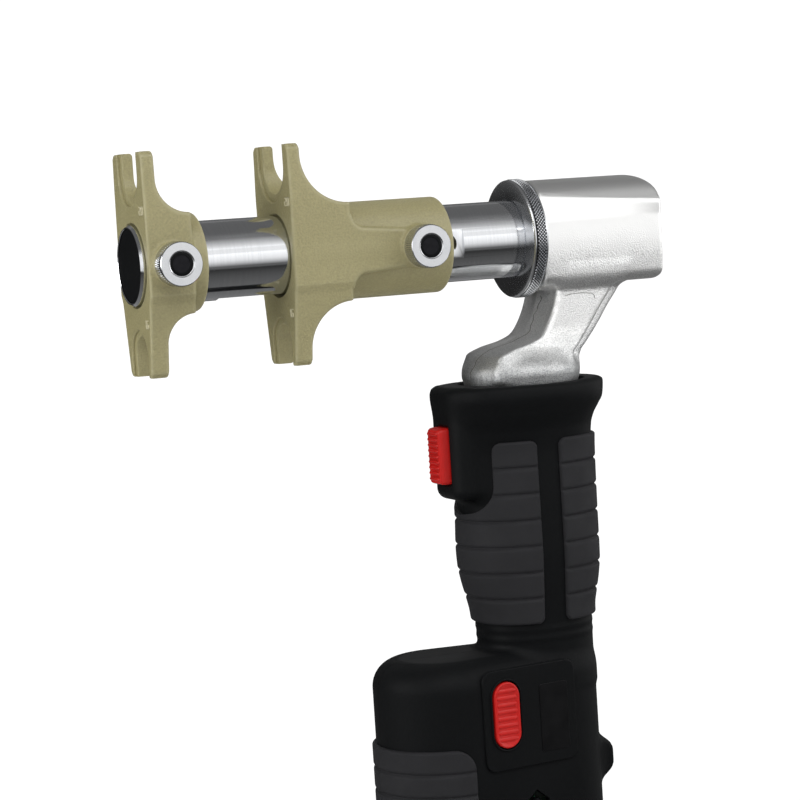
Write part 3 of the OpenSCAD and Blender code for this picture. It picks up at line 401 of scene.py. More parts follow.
def grip_field(x, y, z):
    """The grip: an oval section whose front, rear and width change with depth."""
    depth = COLLAR_Z - z
    front, rear, half = grip_front(depth), grip_rear(depth), grip_half(depth)
    length = (rear - front) / 2
    u = np.abs(x - GRIP_X - (front + rear) / 2) / length
    v = np.abs(y) / half
    up, vp = u ** (GRIP_POWER - 1), v ** (GRIP_POWER - 1)
    q = np.maximum(up * u + vp * v, 1e-6) ** (1 / GRIP_POWER)
    return (q - 1) * q ** (GRIP_POWER - 1) / (np.hypot(up / length, vp / half) + 1e-6)


def lower_field(x, y):
    """The motor housing's outline: a big and a small round joined by flat sides."""
    px, py = np.abs(y), x - MOTOR_X
    span = REAR_X - MOTOR_X
    along = -SIDE_SIN * px + SIDE_COS * py
    flat = SIDE_COS * px + SIDE_SIN * py - FRONT_R
    front = np.hypot(px, py) - FRONT_R
    back = np.hypot(px, py - span) - REAR_R
    return np.where(along < 0, front, np.where(along > SIDE_COS * span, back, flat))


def net(field, lowest, highest, step):
    """A rough surface of a distance field: one point in each cell it crosses, joined into quads."""
    margin = 1.6 * step
    start = np.asarray(lowest, float) - margin
    count = np.ceil((np.asarray(highest) + margin - start) / step).astype(int) + 1
    axes = [(start[k] + step * np.arange(count[k])).astype(np.float32) for k in range(3)]
    value = field(axes[0][:, None, None], axes[1][None, :, None], axes[2][None, None, :])
    value = np.broadcast_to(value, count).astype(np.float32)
    inside = value < 0
    tally = np.zeros(count - 1, np.int8)
    for corner_of in np.ndindex(2, 2, 2):
        tally += inside[tuple(slice(c, n - 1 + c) for c, n in zip(corner_of, count))]
    mixed = (tally > 0) & (tally < 8)
    cells = np.argwhere(mixed)
    number = np.full(count - 1, -1, np.int64)
    number[mixed] = np.arange(len(cells))

    # Each cell's point is the mean of the places where the surface crosses its edges.
    total, hits = np.zeros((len(cells), 3)), np.zeros(len(cells))
    for axis in range(3):
        for pair in np.ndindex(2, 2):
            shift = np.insert(np.array(pair), axis, 0)
            ends = [cells + shift, cells + shift + np.eye(3, dtype=int)[axis]]
            a, b = (value[tuple(e.T)] for e in ends)
            crossed = (a < 0) != (b < 0)
            at = ends[0][crossed].astype(float)
            at[:, axis] += a[crossed] / (a[crossed] - b[crossed])
            total[crossed] += at
            hits[crossed] += 1

    # Each grid edge that crosses the surface gives a quad of the four cells round it.
    quads = []
    for axis in range(3):
        cut = [slice(None)] * 3
        rest = [k for k in range(3) if k != axis]
        for k in rest:
            cut[k] = slice(1, count[k] - 1)
        head, tail = list(cut), list(cut)
        head[axis], tail[axis] = slice(0, count[axis] - 1), slice(1, count[axis])
        first, second = inside[tuple(head)], inside[tuple(tail)]
        for rising in (True, False):
            at = np.argwhere(first & ~second if rising else ~first & second)
            at[:, rest] += 1
            ring = []
            for du, dv in ((0, 0), (-1, 0), (-1, -1), (0, -1)):
                cell = at.copy()
                cell[:, (axis + 1) % 3] += du
                cell[:, (axis + 2) % 3] += dv
                ring.append(number[tuple(cell.T)])
            quads.append(np.stack(ring if rising else ring[::-1], 1))
    return start + step * total / hits[:, None], np.concatenate(quads)


def skin(name, field, lowest, highest, step, material=None, sharp=60):
    """The surface of a distance field in cells of a step, evened out, with its outward edges marked."""
    step = step
    points, quads = net(field, lowest, highest, step)
    ends = np.concatenate([quads[:, [k, (k + 1) % 4]] for k in range(4)])

    def mean(p):
        weight = np.bincount(ends[:, 0], minlength=len(p))[:, None]
        return np.stack([np.bincount(ends[:, 0], p[ends[:, 1], k], len(p)) for k in range(3)], 1) / weight

    def grade(p):
        d = 0.2 * step
        return np.stack([field(*(p + d * e).T) - field(*(p - d * e).T) for e in np.eye(3)], 1) / (2 * d)

    for turn in range(4):
        if turn in (1, 2):
            points = 0.5 * points + 0.5 * mean(points)
        g = grade(points)
        move = field(*points.T)[:, None] * g / np.maximum((g * g).sum(1), 0.04)[:, None]
        points = points - np.clip(move, -step, step)
    g = grade(points)
    g /= np.maximum(np.linalg.norm(g, axis=1), 1e-6)[:, None]
    bend = ((mean(points) - points) * g).sum(1) / step
    thing = piece(name, points, quads, material, sharp)
    edge = thing.data.attributes.new("edge", "FLOAT", "POINT")
    edge.data.foreach_set("value", np.clip(-bend * 4, 0, 1).astype(np.float32))
    return thing


# Nodes

# A map range node takes its value, the range it comes from and the range it goes to as inputs 0 to 4, and a
# colour mix takes its share as input 0 and the colours as 6 and 7. Noise mostly keeps to this range.
NOISE = {1: 0.3, 2: 0.7}


def add(tree, kind, inputs=None, **settings):
    """One node with its settings; an input that is a node or socket is linked, any other value is set."""
    node = tree.nodes.new(kind)
    for key, value in settings.items():
        setattr(node, key, value)
    for key, value in (inputs or {}).items():
        if isinstance(value, bpy.types.Node):
            value = value.outputs[0]
        if isinstance(value, bpy.types.NodeSocket):
            tree.links.new(value, node.inputs[key])
        else:
            node.inputs[key].default_value = value
    return node


def per_mm(size):
    """Noise scale for features of this size in millimetres, on coordinates in metres."""
    return MM / size


def rgba(colour, share=1.0):
    """A linear colour for a socket, made paler or darker by a share."""
    return (*(c * share for c in colour), 1.0)


def paint(code):
    """An sRGB hex value for a socket."""
    return rgba(linear(code))


def fresh_tree(owner):
    """The emptied node tree of a material or world."""
    owner.use_nodes = True
    owner.node_tree.nodes.clear()
    return owner.node_tree


def colours():
    """The colour settings."""
    return bpy.context.scene.press_colours


def material_of(name, make):
    """A material made once by its function, which returns the shader's inputs."""
    if name in bpy.data.materials:
        return bpy.data.materials[name]
    material = bpy.data.materials.new(name)
    tree = fresh_tree(material)
    place = add(tree, "ShaderNodeTexCoord").outputs["Object"]
    shader = add(tree, "ShaderNodeBsdfPrincipled", make(tree, place))
    add(tree, "ShaderNodeOutputMaterial", {"Surface": shader})
    return material


def two_tone(
    name, first, second, clouds, rough, metallic=0.0, shine=0.5, gloss=None, grain=None, stretch=None
):
    """A finish of two tones in clouds of a (size in mm, detail), between two roughnesses.

    The roughness follows gloss where that gives other clouds. Grain is a relief of (size in mm, detail,
    strength, depth in metres), and stretch scales the pattern along each axis.
    """
    gloss = gloss or clouds

    def make(tree, place):
        if stretch:
            place = add(tree, "ShaderNodeMapping", {"Vector": place, "Scale": stretch})
        noise = {}
        for size, detail in {clouds, gloss, grain[:2] if grain else clouds}:
            values = {"Vector": place, "Scale": per_mm(size), "Detail": detail}
            noise[size, detail] = add(tree, "ShaderNodeTexNoise", values)
        tone = add(tree, "ShaderNodeMix", {0: noise[clouds], 6: first, 7: second}, data_type="RGBA")
        dull = add(tree, "ShaderNodeMapRange", {0: noise[gloss], **NOISE, 3: rough[0], 4: rough[1]})
        inputs = {"Base Color": tone.outputs[2], "Roughness": dull, "Metallic": metallic}
        inputs["Specular IOR Level"] = shine
        if grain:
            values = {"Strength": grain[2], "Distance": grain[3], "Height": noise[grain[:2]]}
            inputs["Normal"] = add(tree, "ShaderNodeBump", values)
        return inputs

    return material_of(name, make)


def powder_coat():
    """Powder-coated cast steel: satin khaki with a fine orange peel, paler where edges rub."""

    def make(tree, place):
        khaki = colours().khaki
        peel = add(tree, "ShaderNodeTexNoise", {"Vector": place, "Scale": per_mm(0.7), "Detail": 3.0})
        cloud = add(tree, "ShaderNodeTexNoise", {"Vector": place, "Scale": per_mm(14), "Detail": 2.0})
        worn = add(tree, "ShaderNodeAttribute", attribute_name="edge").outputs["Fac"]
        grit = add(tree, "ShaderNodeMath", {0: worn, 1: peel}, operation="MULTIPLY")
        grit = add(tree, "ShaderNodeMath", {0: grit, 1: 0.45}, operation="MULTIPLY")
        tones = {0: peel, 6: rgba(khaki, 1.25), 7: rgba(khaki, 0.72)}
        tone = add(tree, "ShaderNodeMix", tones, data_type="RGBA")
        tones = {0: grit, 6: tone.outputs[2], 7: paint("d8d3b6")}
        tone = add(tree, "ShaderNodeMix", tones, data_type="RGBA")
        rough = add(tree, "ShaderNodeMapRange", {0: cloud, **NOISE, 3: 0.36, 4: 0.5})
        bump = add(tree, "ShaderNodeBump", {"Strength": 0.8, "Distance": 0.0003, "Height": peel})
        return {"Base Color": tone.outputs[2], "Roughness": rough, "Normal": bump}

    return material_of("powder_coated_cast_steel", make)


def blasted_casting():
    """Nickel-plated casting: ground smooth on the cylinder's upper half, shot-blasted grain below.
    The grain is drawn about twice as coarse as real grit so that it shows."""

    def make(tree, place):
        grain = add(tree, "ShaderNodeTexNoise", {"Vector": place, "Scale": per_mm(0.45), "Detail": 2.0})
        wander = add(tree, "ShaderNodeTexNoise", {"Vector": place, "Scale": per_mm(9), "Detail": 3.0})
        height = add(tree, "ShaderNodeSeparateXYZ", {0: place}).outputs[2]
        level = add(tree, "ShaderNodeMath", {0: wander, 1: 0.012, 2: height}, operation="MULTIPLY_ADD")
        ends = {1: (PRESS_Z + 10) / MM, 2: (PRESS_Z - 4) / MM, 3: 0.05, 4: 1.0}
        blast = add(tree, "ShaderNodeMapRange", {0: level, **ends})
        rough = add(tree, "ShaderNodeMapRange", {0: blast, 1: 0.0, 2: 1.0, 3: 0.32, 4: 0.42})
        deep = add(tree, "ShaderNodeMath", {0: grain, 1: blast}, operation="MULTIPLY")
        speck = add(tree, "ShaderNodeMapRange", {0: deep, 1: 0.4, 2: 0.75, 3: 0.0, 4: 0.7})
        # Painted shade: the tone darkens from 24 mm to 8 mm above the collar, over the arm's foot and base.
        ends = {1: (COLLAR_Z + 24) / MM, 2: (COLLAR_Z + 8) / MM, 3: 0.0, 4: 0.7}
        shade = add(tree, "ShaderNodeMapRange", {0: level, **ends})
        dark = add(tree, "ShaderNodeMath", {0: speck, 1: 0.75, 2: shade}, operation="MULTIPLY_ADD")
        tones = {0: dark, 6: paint("f1f1f0"), 7: paint("8d8f90")}
        tone = add(tree, "ShaderNodeMix", tones, data_type="RGBA")
        bump = add(tree, "ShaderNodeBump", {"Strength": 1.0, "Distance": 0.0002, "Height": deep})
        return {"Base Color": tone.outputs[2], "Metallic": 1.0, "Roughness": rough, "Normal": bump}

    return material_of("shot_blasted_nickel_casting", make)


def nylon():
    """Glass-filled nylon from a spark-eroded mould: matte black with a fine grain."""
    tones = rgba(colours().shell), rgba(colours().shell, 1.5)
    grain = 0.8, 3.0, 0.4, 0.00008
    return two_tone("moulded_black_nylon", *tones, grain[:2], (0.46, 0.58), 0.0, 0.07, (25, 2.0), grain)


def elastomer():
    """Overmoulded elastomer: dark grey and dull, with a skin grain."""
    tones = rgba(colours().pad), rgba(colours().pad, 0.8)
    grain = 0.6, 3.0, 0.35, 0.00006
    return two_tone("overmoulded_grey_elastomer", *tones, (10, 3.0), (0.6, 0.75), shine=0.1, grain=grain)


def red_abs():
    """Moulded ABS: strong red with a satin gloss and slight flow clouds."""
    tones = rgba(colours().red), rgba(colours().red, 0.82)
    return two_tone("moulded_red_abs", *tones, (6, 3.0), (0.3, 0.42), shine=0.25)


def ground_chrome():
    """Ground, hard-chromed steel rod: mirror bright, with faint grinding rings round it."""
    tones = paint("e2e3e5"), paint("d3d5d8")
    return two_tone("ground_hard_chrome", *tones, (0.5, 3.0), (0.07, 0.13), 1.0, stretch=(1.0, 0.02, 0.02))


def turned_chrome():
    """Turned and chromed steel: bright, with fine tool marks."""
    return two_tone("turned_chromed_steel", paint("d2d3d5"), paint("c6c8cb"), (2.5, 3.0), (0.16, 0.22), 1.0)


def black_oxide_and_valley_shade():
    """Black-oxidised steel: near black with a faint oily gloss; also painted shade in the knurl's valleys."""
    return two_tone("black_oxide_steel", paint("1b1b1d"), paint("29292c"), (1.5, 4.0), (0.306, 0.414), 1.0)


def zinc_steel():
    """Zinc-plated turned steel: light grey, half dull."""
    return two_tone("zinc_plated_steel", paint("b3b5b8"), paint("95989c"), (1.2, 4.0), (0.272, 0.368), 1.0)


def cut_brass():
    """Machined brass: warm yellow with cutter marks."""
    return two_tone("machined_brass", paint("c9a961"), paint("ab8a45"), (0.8, 4.0), (0.238, 0.322), 1.0)


def moulded_rubber():
    """Moulded nitrile rubber: black and dull."""
    tones, grain = (paint("1a1a1b"), paint("252527")), (2.0, 4.0, 0.4, 0.00005)
    return two_tone("moulded_nitrile_rubber", *tones, grain[:2], (0.595, 0.805), grain=grain)


def laminate():
    """Glass-fibre laminate with green solder mask: half gloss over a faint weave."""
    return two_tone("glass_fibre_laminate", paint("1d5b34"), paint("174a2a"), (0.9, 4.0), (0.2975, 0.4025))


def cell_sleeve():
    """Shrink-sleeved cells: smooth blue film."""
    return two_tone("shrink_sleeved_cells", paint("3c6ea3"), paint("335f8f"), (4.0, 4.0), (0.255, 0.345))


def sintered_ferrite():
    """Sintered ferrite: dark grey with a fine open grain."""
    tones, grain = (paint("3a3a3c"), paint("2c2c2e")), (0.6, 4.0, 0.4, 0.00005)
    return two_tone("sintered_ferrite", *tones, grain[:2], (0.51, 0.69), grain=grain)


def label_film():
    """Polyester film left bare: plain black, smoother than the shell's grain."""
    tones = paint("070708"), paint("0a0a0c")
    return two_tone("bare_black_label_film", *tones, (5.0, 4.0), (0.34, 0.46), shine=0.15)


def rubbed_paint():
    """Powder coat rubbed thin on raised figures: a paler, drier khaki."""
    return two_tone("rubbed_powder_coat", paint("d2ccae"), paint("b3ac8a"), (0.8, 4.0), (0.51, 0.69))


def painted_seam_shade():
    """Painted shade along a casting's seam: a dull dark line."""
    return two_tone("oxide_in_a_casting_seam", paint("34322d"), paint("55524a"), (1.0, 4.0), (0.51, 0.69))


# Repeats


def tree_of(name, sockets, make):
    """A Geometry Nodes tree made once: its function's copies become real and take a material."""
    if name in bpy.data.node_groups:
        return bpy.data.node_groups[name]
    tree = bpy.data.node_groups.new(name, "GeometryNodeTree")
    for word, kind in sockets.items():
        tree.interface.new_socket(word, in_out="INPUT", socket_type=f"NodeSocket{kind}")
    tree.interface.new_socket("Geometry", in_out="OUTPUT", socket_type="NodeSocketGeometry")
    given = add(tree, "NodeGroupInput").outputs
    real = add(tree, "GeometryNodeRealizeInstances", {0: make(tree, given)})
    coat = add(tree, "GeometryNodeSetMaterial", {"Geometry": real, "Material": given["Material"]})
    add(tree, "NodeGroupOutput", {0: coat})
    return tree


def run_tree(thing, tree, values, sharp=SHARP):
    """Sets a tree's inputs by their identifiers and applies it to a piece."""
    step = thing.modifiers.new(tree.name, "NODES")
    step.node_group = tree
    names = {item.name: item.identifier for item in tree.interface.items_tree if item.in_out == "INPUT"}
    for word, value in values.items():
        step[names[word]] = value
    settle(thing)
    dress(thing, sharp)
    return thing


def repeat(thing, material, count, first=(0, 0, 0), shift=(0, 0, 0), axis=ALONG, turn=0.0, sharp=SHARP):
    """Turns one small form, modelled about the origin, into a finished row or ring of copies."""

    def make(tree, given):
        ends = {"Count": given["Count"], "Start Location": given["First"], "Offset": given["Shift"]}
        line = add(tree, "GeometryNodeMeshLine", ends)
        index = add(tree, "GeometryNodeInputIndex")
        angle = add(tree, "ShaderNodeMath", {0: index, 1: given["Turn"]}, operation="MULTIPLY")
        spin = add(tree, "FunctionNodeAxisAngleToRotation", {"Axis": given["Axis"], "Angle": angle})
        inputs = {"Points": line, "Instance": given["Geometry"], "Rotation": spin}
        return add(tree, "GeometryNodeInstanceOnPoints", inputs)

    sockets = {"Geometry": "Geometry", "Count": "Int", "First": "Vector", "Shift": "Vector"}
    sockets |= {"Axis": "Vector", "Turn": "Float", "Material": "Material"}
    values = {"Count": count, "First": [v / MM for v in first], "Shift": [v / MM for v in shift]}
    values |= {"Axis": list(axis), "Turn": turn, "Material": material}
    return run_tree(thing, tree_of("repeat_along_and_round", sockets, make), values, sharp)


def copies(name, form, points, material):
    """A piece made of copies of a form, which is cleared away, on a list of points."""

    def make(tree, given):
        shape = add(tree, "GeometryNodeObjectInfo", {"Object": given["Object"]}).outputs["Geometry"]
        return add(tree, "GeometryNodeInstanceOnPoints", {"Points": given["Geometry"], "Instance": shape})

    sockets = {word: word for word in ("Geometry", "Object", "Material")}
    tree = tree_of("copies_on_points", sockets, make)
    thing = run_tree(piece(name, points, []), tree, {"Object": form, "Material": material})
    clear_away(form)
    return thing


def merge(thing, *others):
    """Joins the meshes of others into a piece."""
    work = bmesh.new()
    work.from_mesh(thing.data)
    for other in others:
        work.from_mesh(other.data)
        clear_away(other)
    work.to_mesh(thing.data)
    work.free()
    return thing


def stand_for(thing, body, slot, *nodes):
    """Says what a piece rides on and which CAD nodes it stands for, which it hides; the slot is not used."""
    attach(thing, body)
    if nodes:
        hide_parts(*nodes)


def side_frame(x, z, side=-1):
    """A frame on the flat side of the motor housing: along it, up and outward."""
    y = ((x - MOTOR_X) * SIDE_SIN - FRONT_R) / SIDE_COS
    first = np.array([SIDE_COS, SIDE_SIN, 0])
    outward = np.array([SIDE_SIN, -SIDE_COS, 0])
    flip = np.array([1, -side, 1])
    return np.array([x, y, z]) * flip, first * flip, np.array([0, 0, 1.0]), outward * flip


# Settings


def length(name, description, millimetres):
    """A setting for a length."""
    return bpy.props.FloatProperty(
        name=name, description=description, default=millimetres / MM, min=0, unit="LENGTH", precision=5
    )


def colour(name, description, code):
    """A setting for a colour."""
    return bpy.props.FloatVectorProperty(
        name=name, description=description, default=linear(code), subtype="COLOR", min=0, max=1, size=3
    )


class PressSizes(bpy.types.PropertyGroup):
    """Sizes of the visible forms."""

    pad: length("Pad", "Thickness of the soft pads", 1.2)
    groove: length("Groove", "Depth of the grooves across the pads", 0.7)
    panel: length("Panel", "Height of the raised side panel", 0.8)
    cast_edge: length("Cast edge", "Rounding of the castings' edges", 1.2)
    cast_fillet: length("Cast fillet", "Fillet round the lock bosses", 1.2)
    knurl: length("Knurl", "Height of the knurl on the gland nut", 0.5)
    ridge: length("Ridge", "Height of the ridges on the lock knobs", 0.22)
    rib: length("Rib", "Height of the ribs on trigger and button", 0.4)
    pack_edge: length("Pack edge", "Rounding of the battery pack's edges", 0.8)


class PressColours(bpy.types.PropertyGroup):
    """Colours of the visible finishes."""

    khaki: colour("Castings", "Powder coat of the yokes", "938c65")
    shell: colour("Shell", "Moulded housing", "0b0c0d")
    pad: colour("Pads", "Soft pads", "28282a")
    red: colour("Controls", "Trigger, button and latch", "bd1713")


def sizes(word):
    """A size from the settings, in millimetres."""
    return getattr(bpy.context.scene.press_sizes, word) * MM


# Housing


def shell_field(x, y, z):
    """Both housing shells in one: grip with its collar, trigger block, motor housing, foot and lug."""
    depth = COLLAR_Z - z
    rims = sum(np.exp(-(((depth - at) / RIM_WIDE) ** 2)) for at in RIM_DEPTHS)
    grip = meet(grip_field(x, y, z) - RIM_RISE * rims, z - COLLAR_Z, 1.2)
    grip = meet(grip, LOWER_TOP - 15 - z, 1)
    block = plate(x - BLOCK_MID, y, BLOCK_MID - BLOCK_FRONT, BLOCK_HALF, 7)
    block = meet(meet(block, z - COLLAR_Z + 1.5, 1.5), BLOCK_FOOT - z, 4)
    upper = join(grip, block, 3)
    lower = meet(lower_field(x, y), z - LOWER_TOP, 10)
    foot = meet(plate(x, y, FOOT_LONG, FOOT_WIDE, FOOT_CORNER), z - FOOT_TOP - FOOT_RISE, 9)
    lower = join(meet(lower, FOOT_TOP - 4 - z, 1), foot, 12)
    lug = plate(x - REAR_X - REAR_R + 1, z - LOWER_TOP + LUG_DEPTH, LUG_LONG, LUG_TALL, 5)
    lug = join(meet(lug, np.abs(y) - LUG_WIDE, 1.5), lower, 4)
    return meet(join(upper, np.minimum(lower, lug), 2.5), PACK_TOP + 0.3 - z, 0.8)


def hollow_field(x, y, z):
    """The room inside the shells."""
    roof = z - COLLAR_Z + ROOF_DEPTH
    grip = np.maximum(grip_field(x, y, z) + WALL, roof)
    block = plate(x - BLOCK_MID, y, BLOCK_MID - BLOCK_FRONT - WALL, BLOCK_HALF - WALL, 2.6)
    block = np.maximum(np.maximum(block, roof), BLOCK_FOOT + WALL - z)
    lower = meet(lower_field(x, y) + WALL, z - LOWER_TOP + WALL, 9)
    return np.maximum(np.minimum(np.minimum(grip, block), lower), FOOT_TOP - 3 - z)


def shell_tools(side):
    """Everything that is cut into one shell: window, head's seat, pocket, vents, screw holes and rails."""
    height = high("trigger")[2] - 2 - TRIGGER_Z
    place = (TRIGGER_FRONT, 0, TRIGGER_Z + height / 2), LEFT, UP, ALONG
    steps = (2.4, -6), (2.4, 2.6), (0.7, 3.3), (0.7, 10.5)
    tools = [stack("window", lambda g: rounded(TRIGGER_W + g, height + g, 1.6), place, steps)]
    recess = [(BASE_R + 0.7, 0), (BASE_R + 0.7, 6), (BASE_R + 2, 8)]
    tools.append(turned("recess", recess, (GRIP_X, 0, RECESS_Z), UP))
    tools.append(turned("seat", [(15.5, 0), (15.5, 10)], (GRIP_X, 0, RECESS_Z - 6), UP))
    if side < 0:
        place = side_frame(BUTTON_X, BUTTON_Z)
        steps = (0.6, -8), (0.6, 8)
        tools.append(stack("pocket", lambda g: stadium(BUTTON_W + g, BUTTON_H + g), place, steps))
    chevron = np.array([(-5, -4), (0, 0), (5, -4), (5, -1), (0, 3), (-5, -1)], float)
    steps = (1, -6), (1, -0.5), (1.12, 0.6), (1.12, 6)
    for k in range(3):
        place = side_frame(VENT_X, VENT_Z - VENT_GAP * k, side)
        tools.append(stack(f"vent_{k}", lambda g: chevron * g, place, steps))
    for k, (x, z) in enumerate(SCREWS):
        place = (x, 0, z), ALONG, UP, RIGHT
        steps = (SHANK_R, -10), (SHANK_R, 10)
        tools.append(stack(f"shank_{k}", lambda r: circle(r, 24), place, steps))
        if side > 0:
            steps = (SCREW_SEAT_R, 8), (SCREW_SEAT_R, 45)
            tools.append(stack(f"seat_{k}", lambda r: circle(r, 32), place, steps))
    start, half, lip = -80, RAIL_HALF, RAIL_HALF + 4
    tools.append(block_of("rail", (start, -half, PACK_TOP - 1), (RAIL_END, half, PACK_TOP + 5)))
    tools.append(block_of("lip", (start, -lip, PACK_TOP + 3.7), (RAIL_END, lip, PACK_TOP + 9.3)))
    tools.append(block_of("terminal", (-18.3, -14.8, PACK_TOP + 3), (18.3, 14.8, PACK_TOP + 17)))
    return tools


class PRESS_OT_housing(bpy.types.Operator):
    """Builds the two housing shells, the raised side panels and the bare label plate"""

    bl_idname = "press.housing"
    bl_label = "Housing"

    def execute(self, context):
        coat = nylon()
        whole = skin("whole", shell_field, (-57, -37.5, PACK_TOP), (57, 37.5, COLLAR_Z), 0.8, coat)
        room = skin("room", hollow_field, (-52, -30, FOOT_TOP - 3), (52, 30, COLLAR_Z - 9), 1.5)
        for x, z in SCREWS:
            carve(room, turned("boss", [(BOSS_R, -40), (BOSS_R, 40)], (x, 0, z), RIGHT, count=32))
        for side, word in SIDES:
            shell = put(f"{word}_shell", whole.data.copy())
            near, far = sorted((0.05 * side, 90 * side))
            carve(shell, block_of("half", (-120, near, 0), (120, far, 400)), way="INTERSECT")
            carve(shell, put("inner", room.data.copy()), *shell_tools(side))
            stand_for(shell, "handle", "black_shell", f"{word}_housing")
        clear_away(whole)
        clear_away(room)

        rise = sizes("panel")
        steps = (0, -0.6), (0, rise - 0.45), (0.14, rise - 0.12), (0.45, rise)
        for side, word in SIDES:
            place = side_frame(PANEL_X, PANEL_Z, side)
            loops = [lay(rounded(PANEL_W - 2 * g, PANEL_H - 2 * g, 4 - g), place, run) for g, run in steps]
            panel = tower(f"{word}_panel", loops, coat, sharp=TRIM_SHARP)
            if side < 0:
                place = side_frame(BUTTON_X, BUTTON_Z)
                loops = [lay(stadium(BUTTON_W + 0.8, BUTTON_H + 0.8), place, run) for run in (-4, 4)]
                carve(panel, tower("hole", loops), sharp=TRIM_SHARP)
            stand_for(panel, "handle", "black_shell")

        place = side_frame(LABEL_X, LABEL_Z)
        steps = [(g, rise - 0.02 + run) for g, run in ((0, 0), (0, 0.18), (0.1, 0.24))]
        loops = [lay(rounded(LABEL_W - 2 * g, LABEL_H - 2 * g, 1.2 - g), place, run) for g, run in steps]
        label = tower("bare_label", loops, label_film(), sharp=TRIM_SHARP)
        stand_for(label, "handle", "black_shell")
        return {"FINISHED"}


# Pads


def padding(name, place, top, bottom, grooves, ends):
    """A soft pad: crowned segments between grooves, with rounded borders, on a carrying surface."""
    row_gap, columns = 0.4, 46
    bed, slope, border_r = 0.22, 1.1, 0.9
    lift, clear = 0.25, 0.03
    rows = [np.arange(top, bottom, row_gap), [top + 0.08, top + 0.2, bottom - 0.2, bottom - 0.08, bottom]]
    rows += [np.array([g]) + (-0.62, -0.42, -bed, 0, bed, 0.42, 0.62) for g in grooves]
    rows = np.unique(np.round(np.concatenate(rows), 2))
    share = 0.5 - 0.5 * np.cos(np.linspace(0, np.pi, columns))
    first, last = ends(rows)
    turn = first[:, None] + (last - first)[:, None] * share
    ground = place(rows[:, None], turn, 0)
    run = np.cumsum(np.linalg.norm(np.diff(ground, axis=1, prepend=ground[:, :1]), axis=2), axis=1)
    seam_side = np.where(np.abs(ground[:, -1:, 1]) < 0.5, 5.0, 0)
    border = np.minimum(run, run[:, -1:] - run + seam_side)
    border = np.minimum(border, np.minimum(rows - top, bottom - rows)[:, None])
    gap = np.abs(rows[:, None] - np.asarray(grooves)).min(1)
    height = sizes("pad") - sizes("groove") * (1 - np.clip((gap - bed) / slope, 0, 1)) ** 2
    height = height[:, None] * np.sqrt(1 - (1 - np.clip(border / border_r, 0, 1)) ** 2)
    outer = place(rows[:, None], turn, lift + height)
    under = place(rows[:, None], turn, clear)
    m, n = turn.shape
    grid = np.arange(m * n).reshape(m, n)
    quads = np.stack([grid[:-1, :-1], grid[:-1, 1:], grid[1:, 1:], grid[1:, :-1]], -1).reshape(-1, 4)
    rim = np.concatenate([grid[0], grid[1:, -1], grid[-1, -2::-1], grid[-2:0:-1, 0]])
    after = np.roll(rim, -1)
    wall = np.stack([rim, after, after + m * n, rim + m * n], 1)
    faces = np.concatenate([quads, quads[:, ::-1] + m * n, wall])
    points = np.concatenate([outer.reshape(-1, 3), under.reshape(-1, 3)])
    return piece(name, points, faces, elastomer(), PAD_SHARP)


def corner(distance, radius=2.6):
    """How far a border draws in at a distance from the end of a rounded corner."""
    rest = np.clip(radius - distance, 0, radius)
    return radius - np.sqrt(radius**2 - rest**2)


class PRESS_OT_pads(bpy.types.Operator):
    """Builds the six soft pads of the grip and the motor housing"""

    bl_idname = "press.pads"
    bl_label = "Pads"

    def execute(self, context):
        top, bottom = 20.2, 87.0
        grooves = [top + k * (bottom - top) / 7 for k in range(1, 7)]
        step, sweep, cut = 48.5, 13.0, 20.3
        front_edge, rear_edge, grip_r = -5.2, 3.4, 24
        upper = high("left_lower_pad")[2]
        tall = upper - low("left_lower_pad")[2]
        lines = [k * tall / 5 for k in range(1, 5)]

        def front_ends(rows):
            arc = np.sqrt(np.maximum(sweep**2 - np.clip(rows - step + sweep, 0, sweep) ** 2, 0))
            edge = np.where(rows > step, -90, arc - cut - sweep)
            drawn = np.minimum(corner(rows - top), 9) + corner(bottom - rows)
            last = np.minimum(np.radians(179.99), grip_turn(rows, edge + corner(rows - top)))
            return grip_turn(rows, front_edge) + drawn / grip_r, last

        def rear_ends(rows):
            drawn = corner(rows - top) + corner(bottom - rows)
            return grip_turn(rows, rear_edge) - drawn / grip_r, np.full(len(rows), math.radians(0.01))

        def low_ends(rows):
            last = math.radians(90) + math.asin(1 / FRONT_R)
            drawn = corner(rows, 8) + corner(tall - rows)
            return last - drawn / FRONT_R, np.full(len(rows), math.radians(0.05))

        for side, word in SIDES:

            def on_grip(depth, turn, out, side=side):
                return grip_point(depth, turn * side, out)

            def on_motor(depth, turn, out, side=side):
                r = FRONT_R + out
                x, y = MOTOR_X - r * np.cos(turn), side * r * np.sin(turn)
                return np.stack(np.broadcast_arrays(x, y, upper - depth), -1)

            for name, place, start, end, rows, ends in (
                ("front", on_grip, top, bottom, grooves, front_ends),
                ("rear", on_grip, top, bottom, grooves, rear_ends),
                ("lower", on_motor, 0.0, tall, lines, low_ends),
            ):
                pad = padding(f"{word}_{name}_grip", place, start, end, rows, ends)
                stand_for(pad, "handle", "grey_pad", f"{word}_{name}_pad")
        return {"FINISHED"}


# Controls


def add_ribs(thing, material, wide, tall, count, gap, spot, axes):
    """Adds a row of low half-round ribs with rounded ends to a piece, centred on a spot."""
    rise = sizes("rib")
    steps = (0, -0.3), (0, 0.1 * rise), (0.12 * tall, 0.6 * rise), (0.3 * tall, rise)
    loops = []
    for g, run in steps:
        r = max(tall / 2 - g - 0.01, 0.05)
        loops.append(lay(rounded(wide - 2 * g, tall - 2 * g, r, 5), ((0, 0, 0), *axes), run))
    rib = tower("ribs", loops)
    first = np.array(spot) + [0, 0, -gap * (count - 1) / 2]
    merge(thing, repeat(rib, material, count, first, (0, 0, gap)))


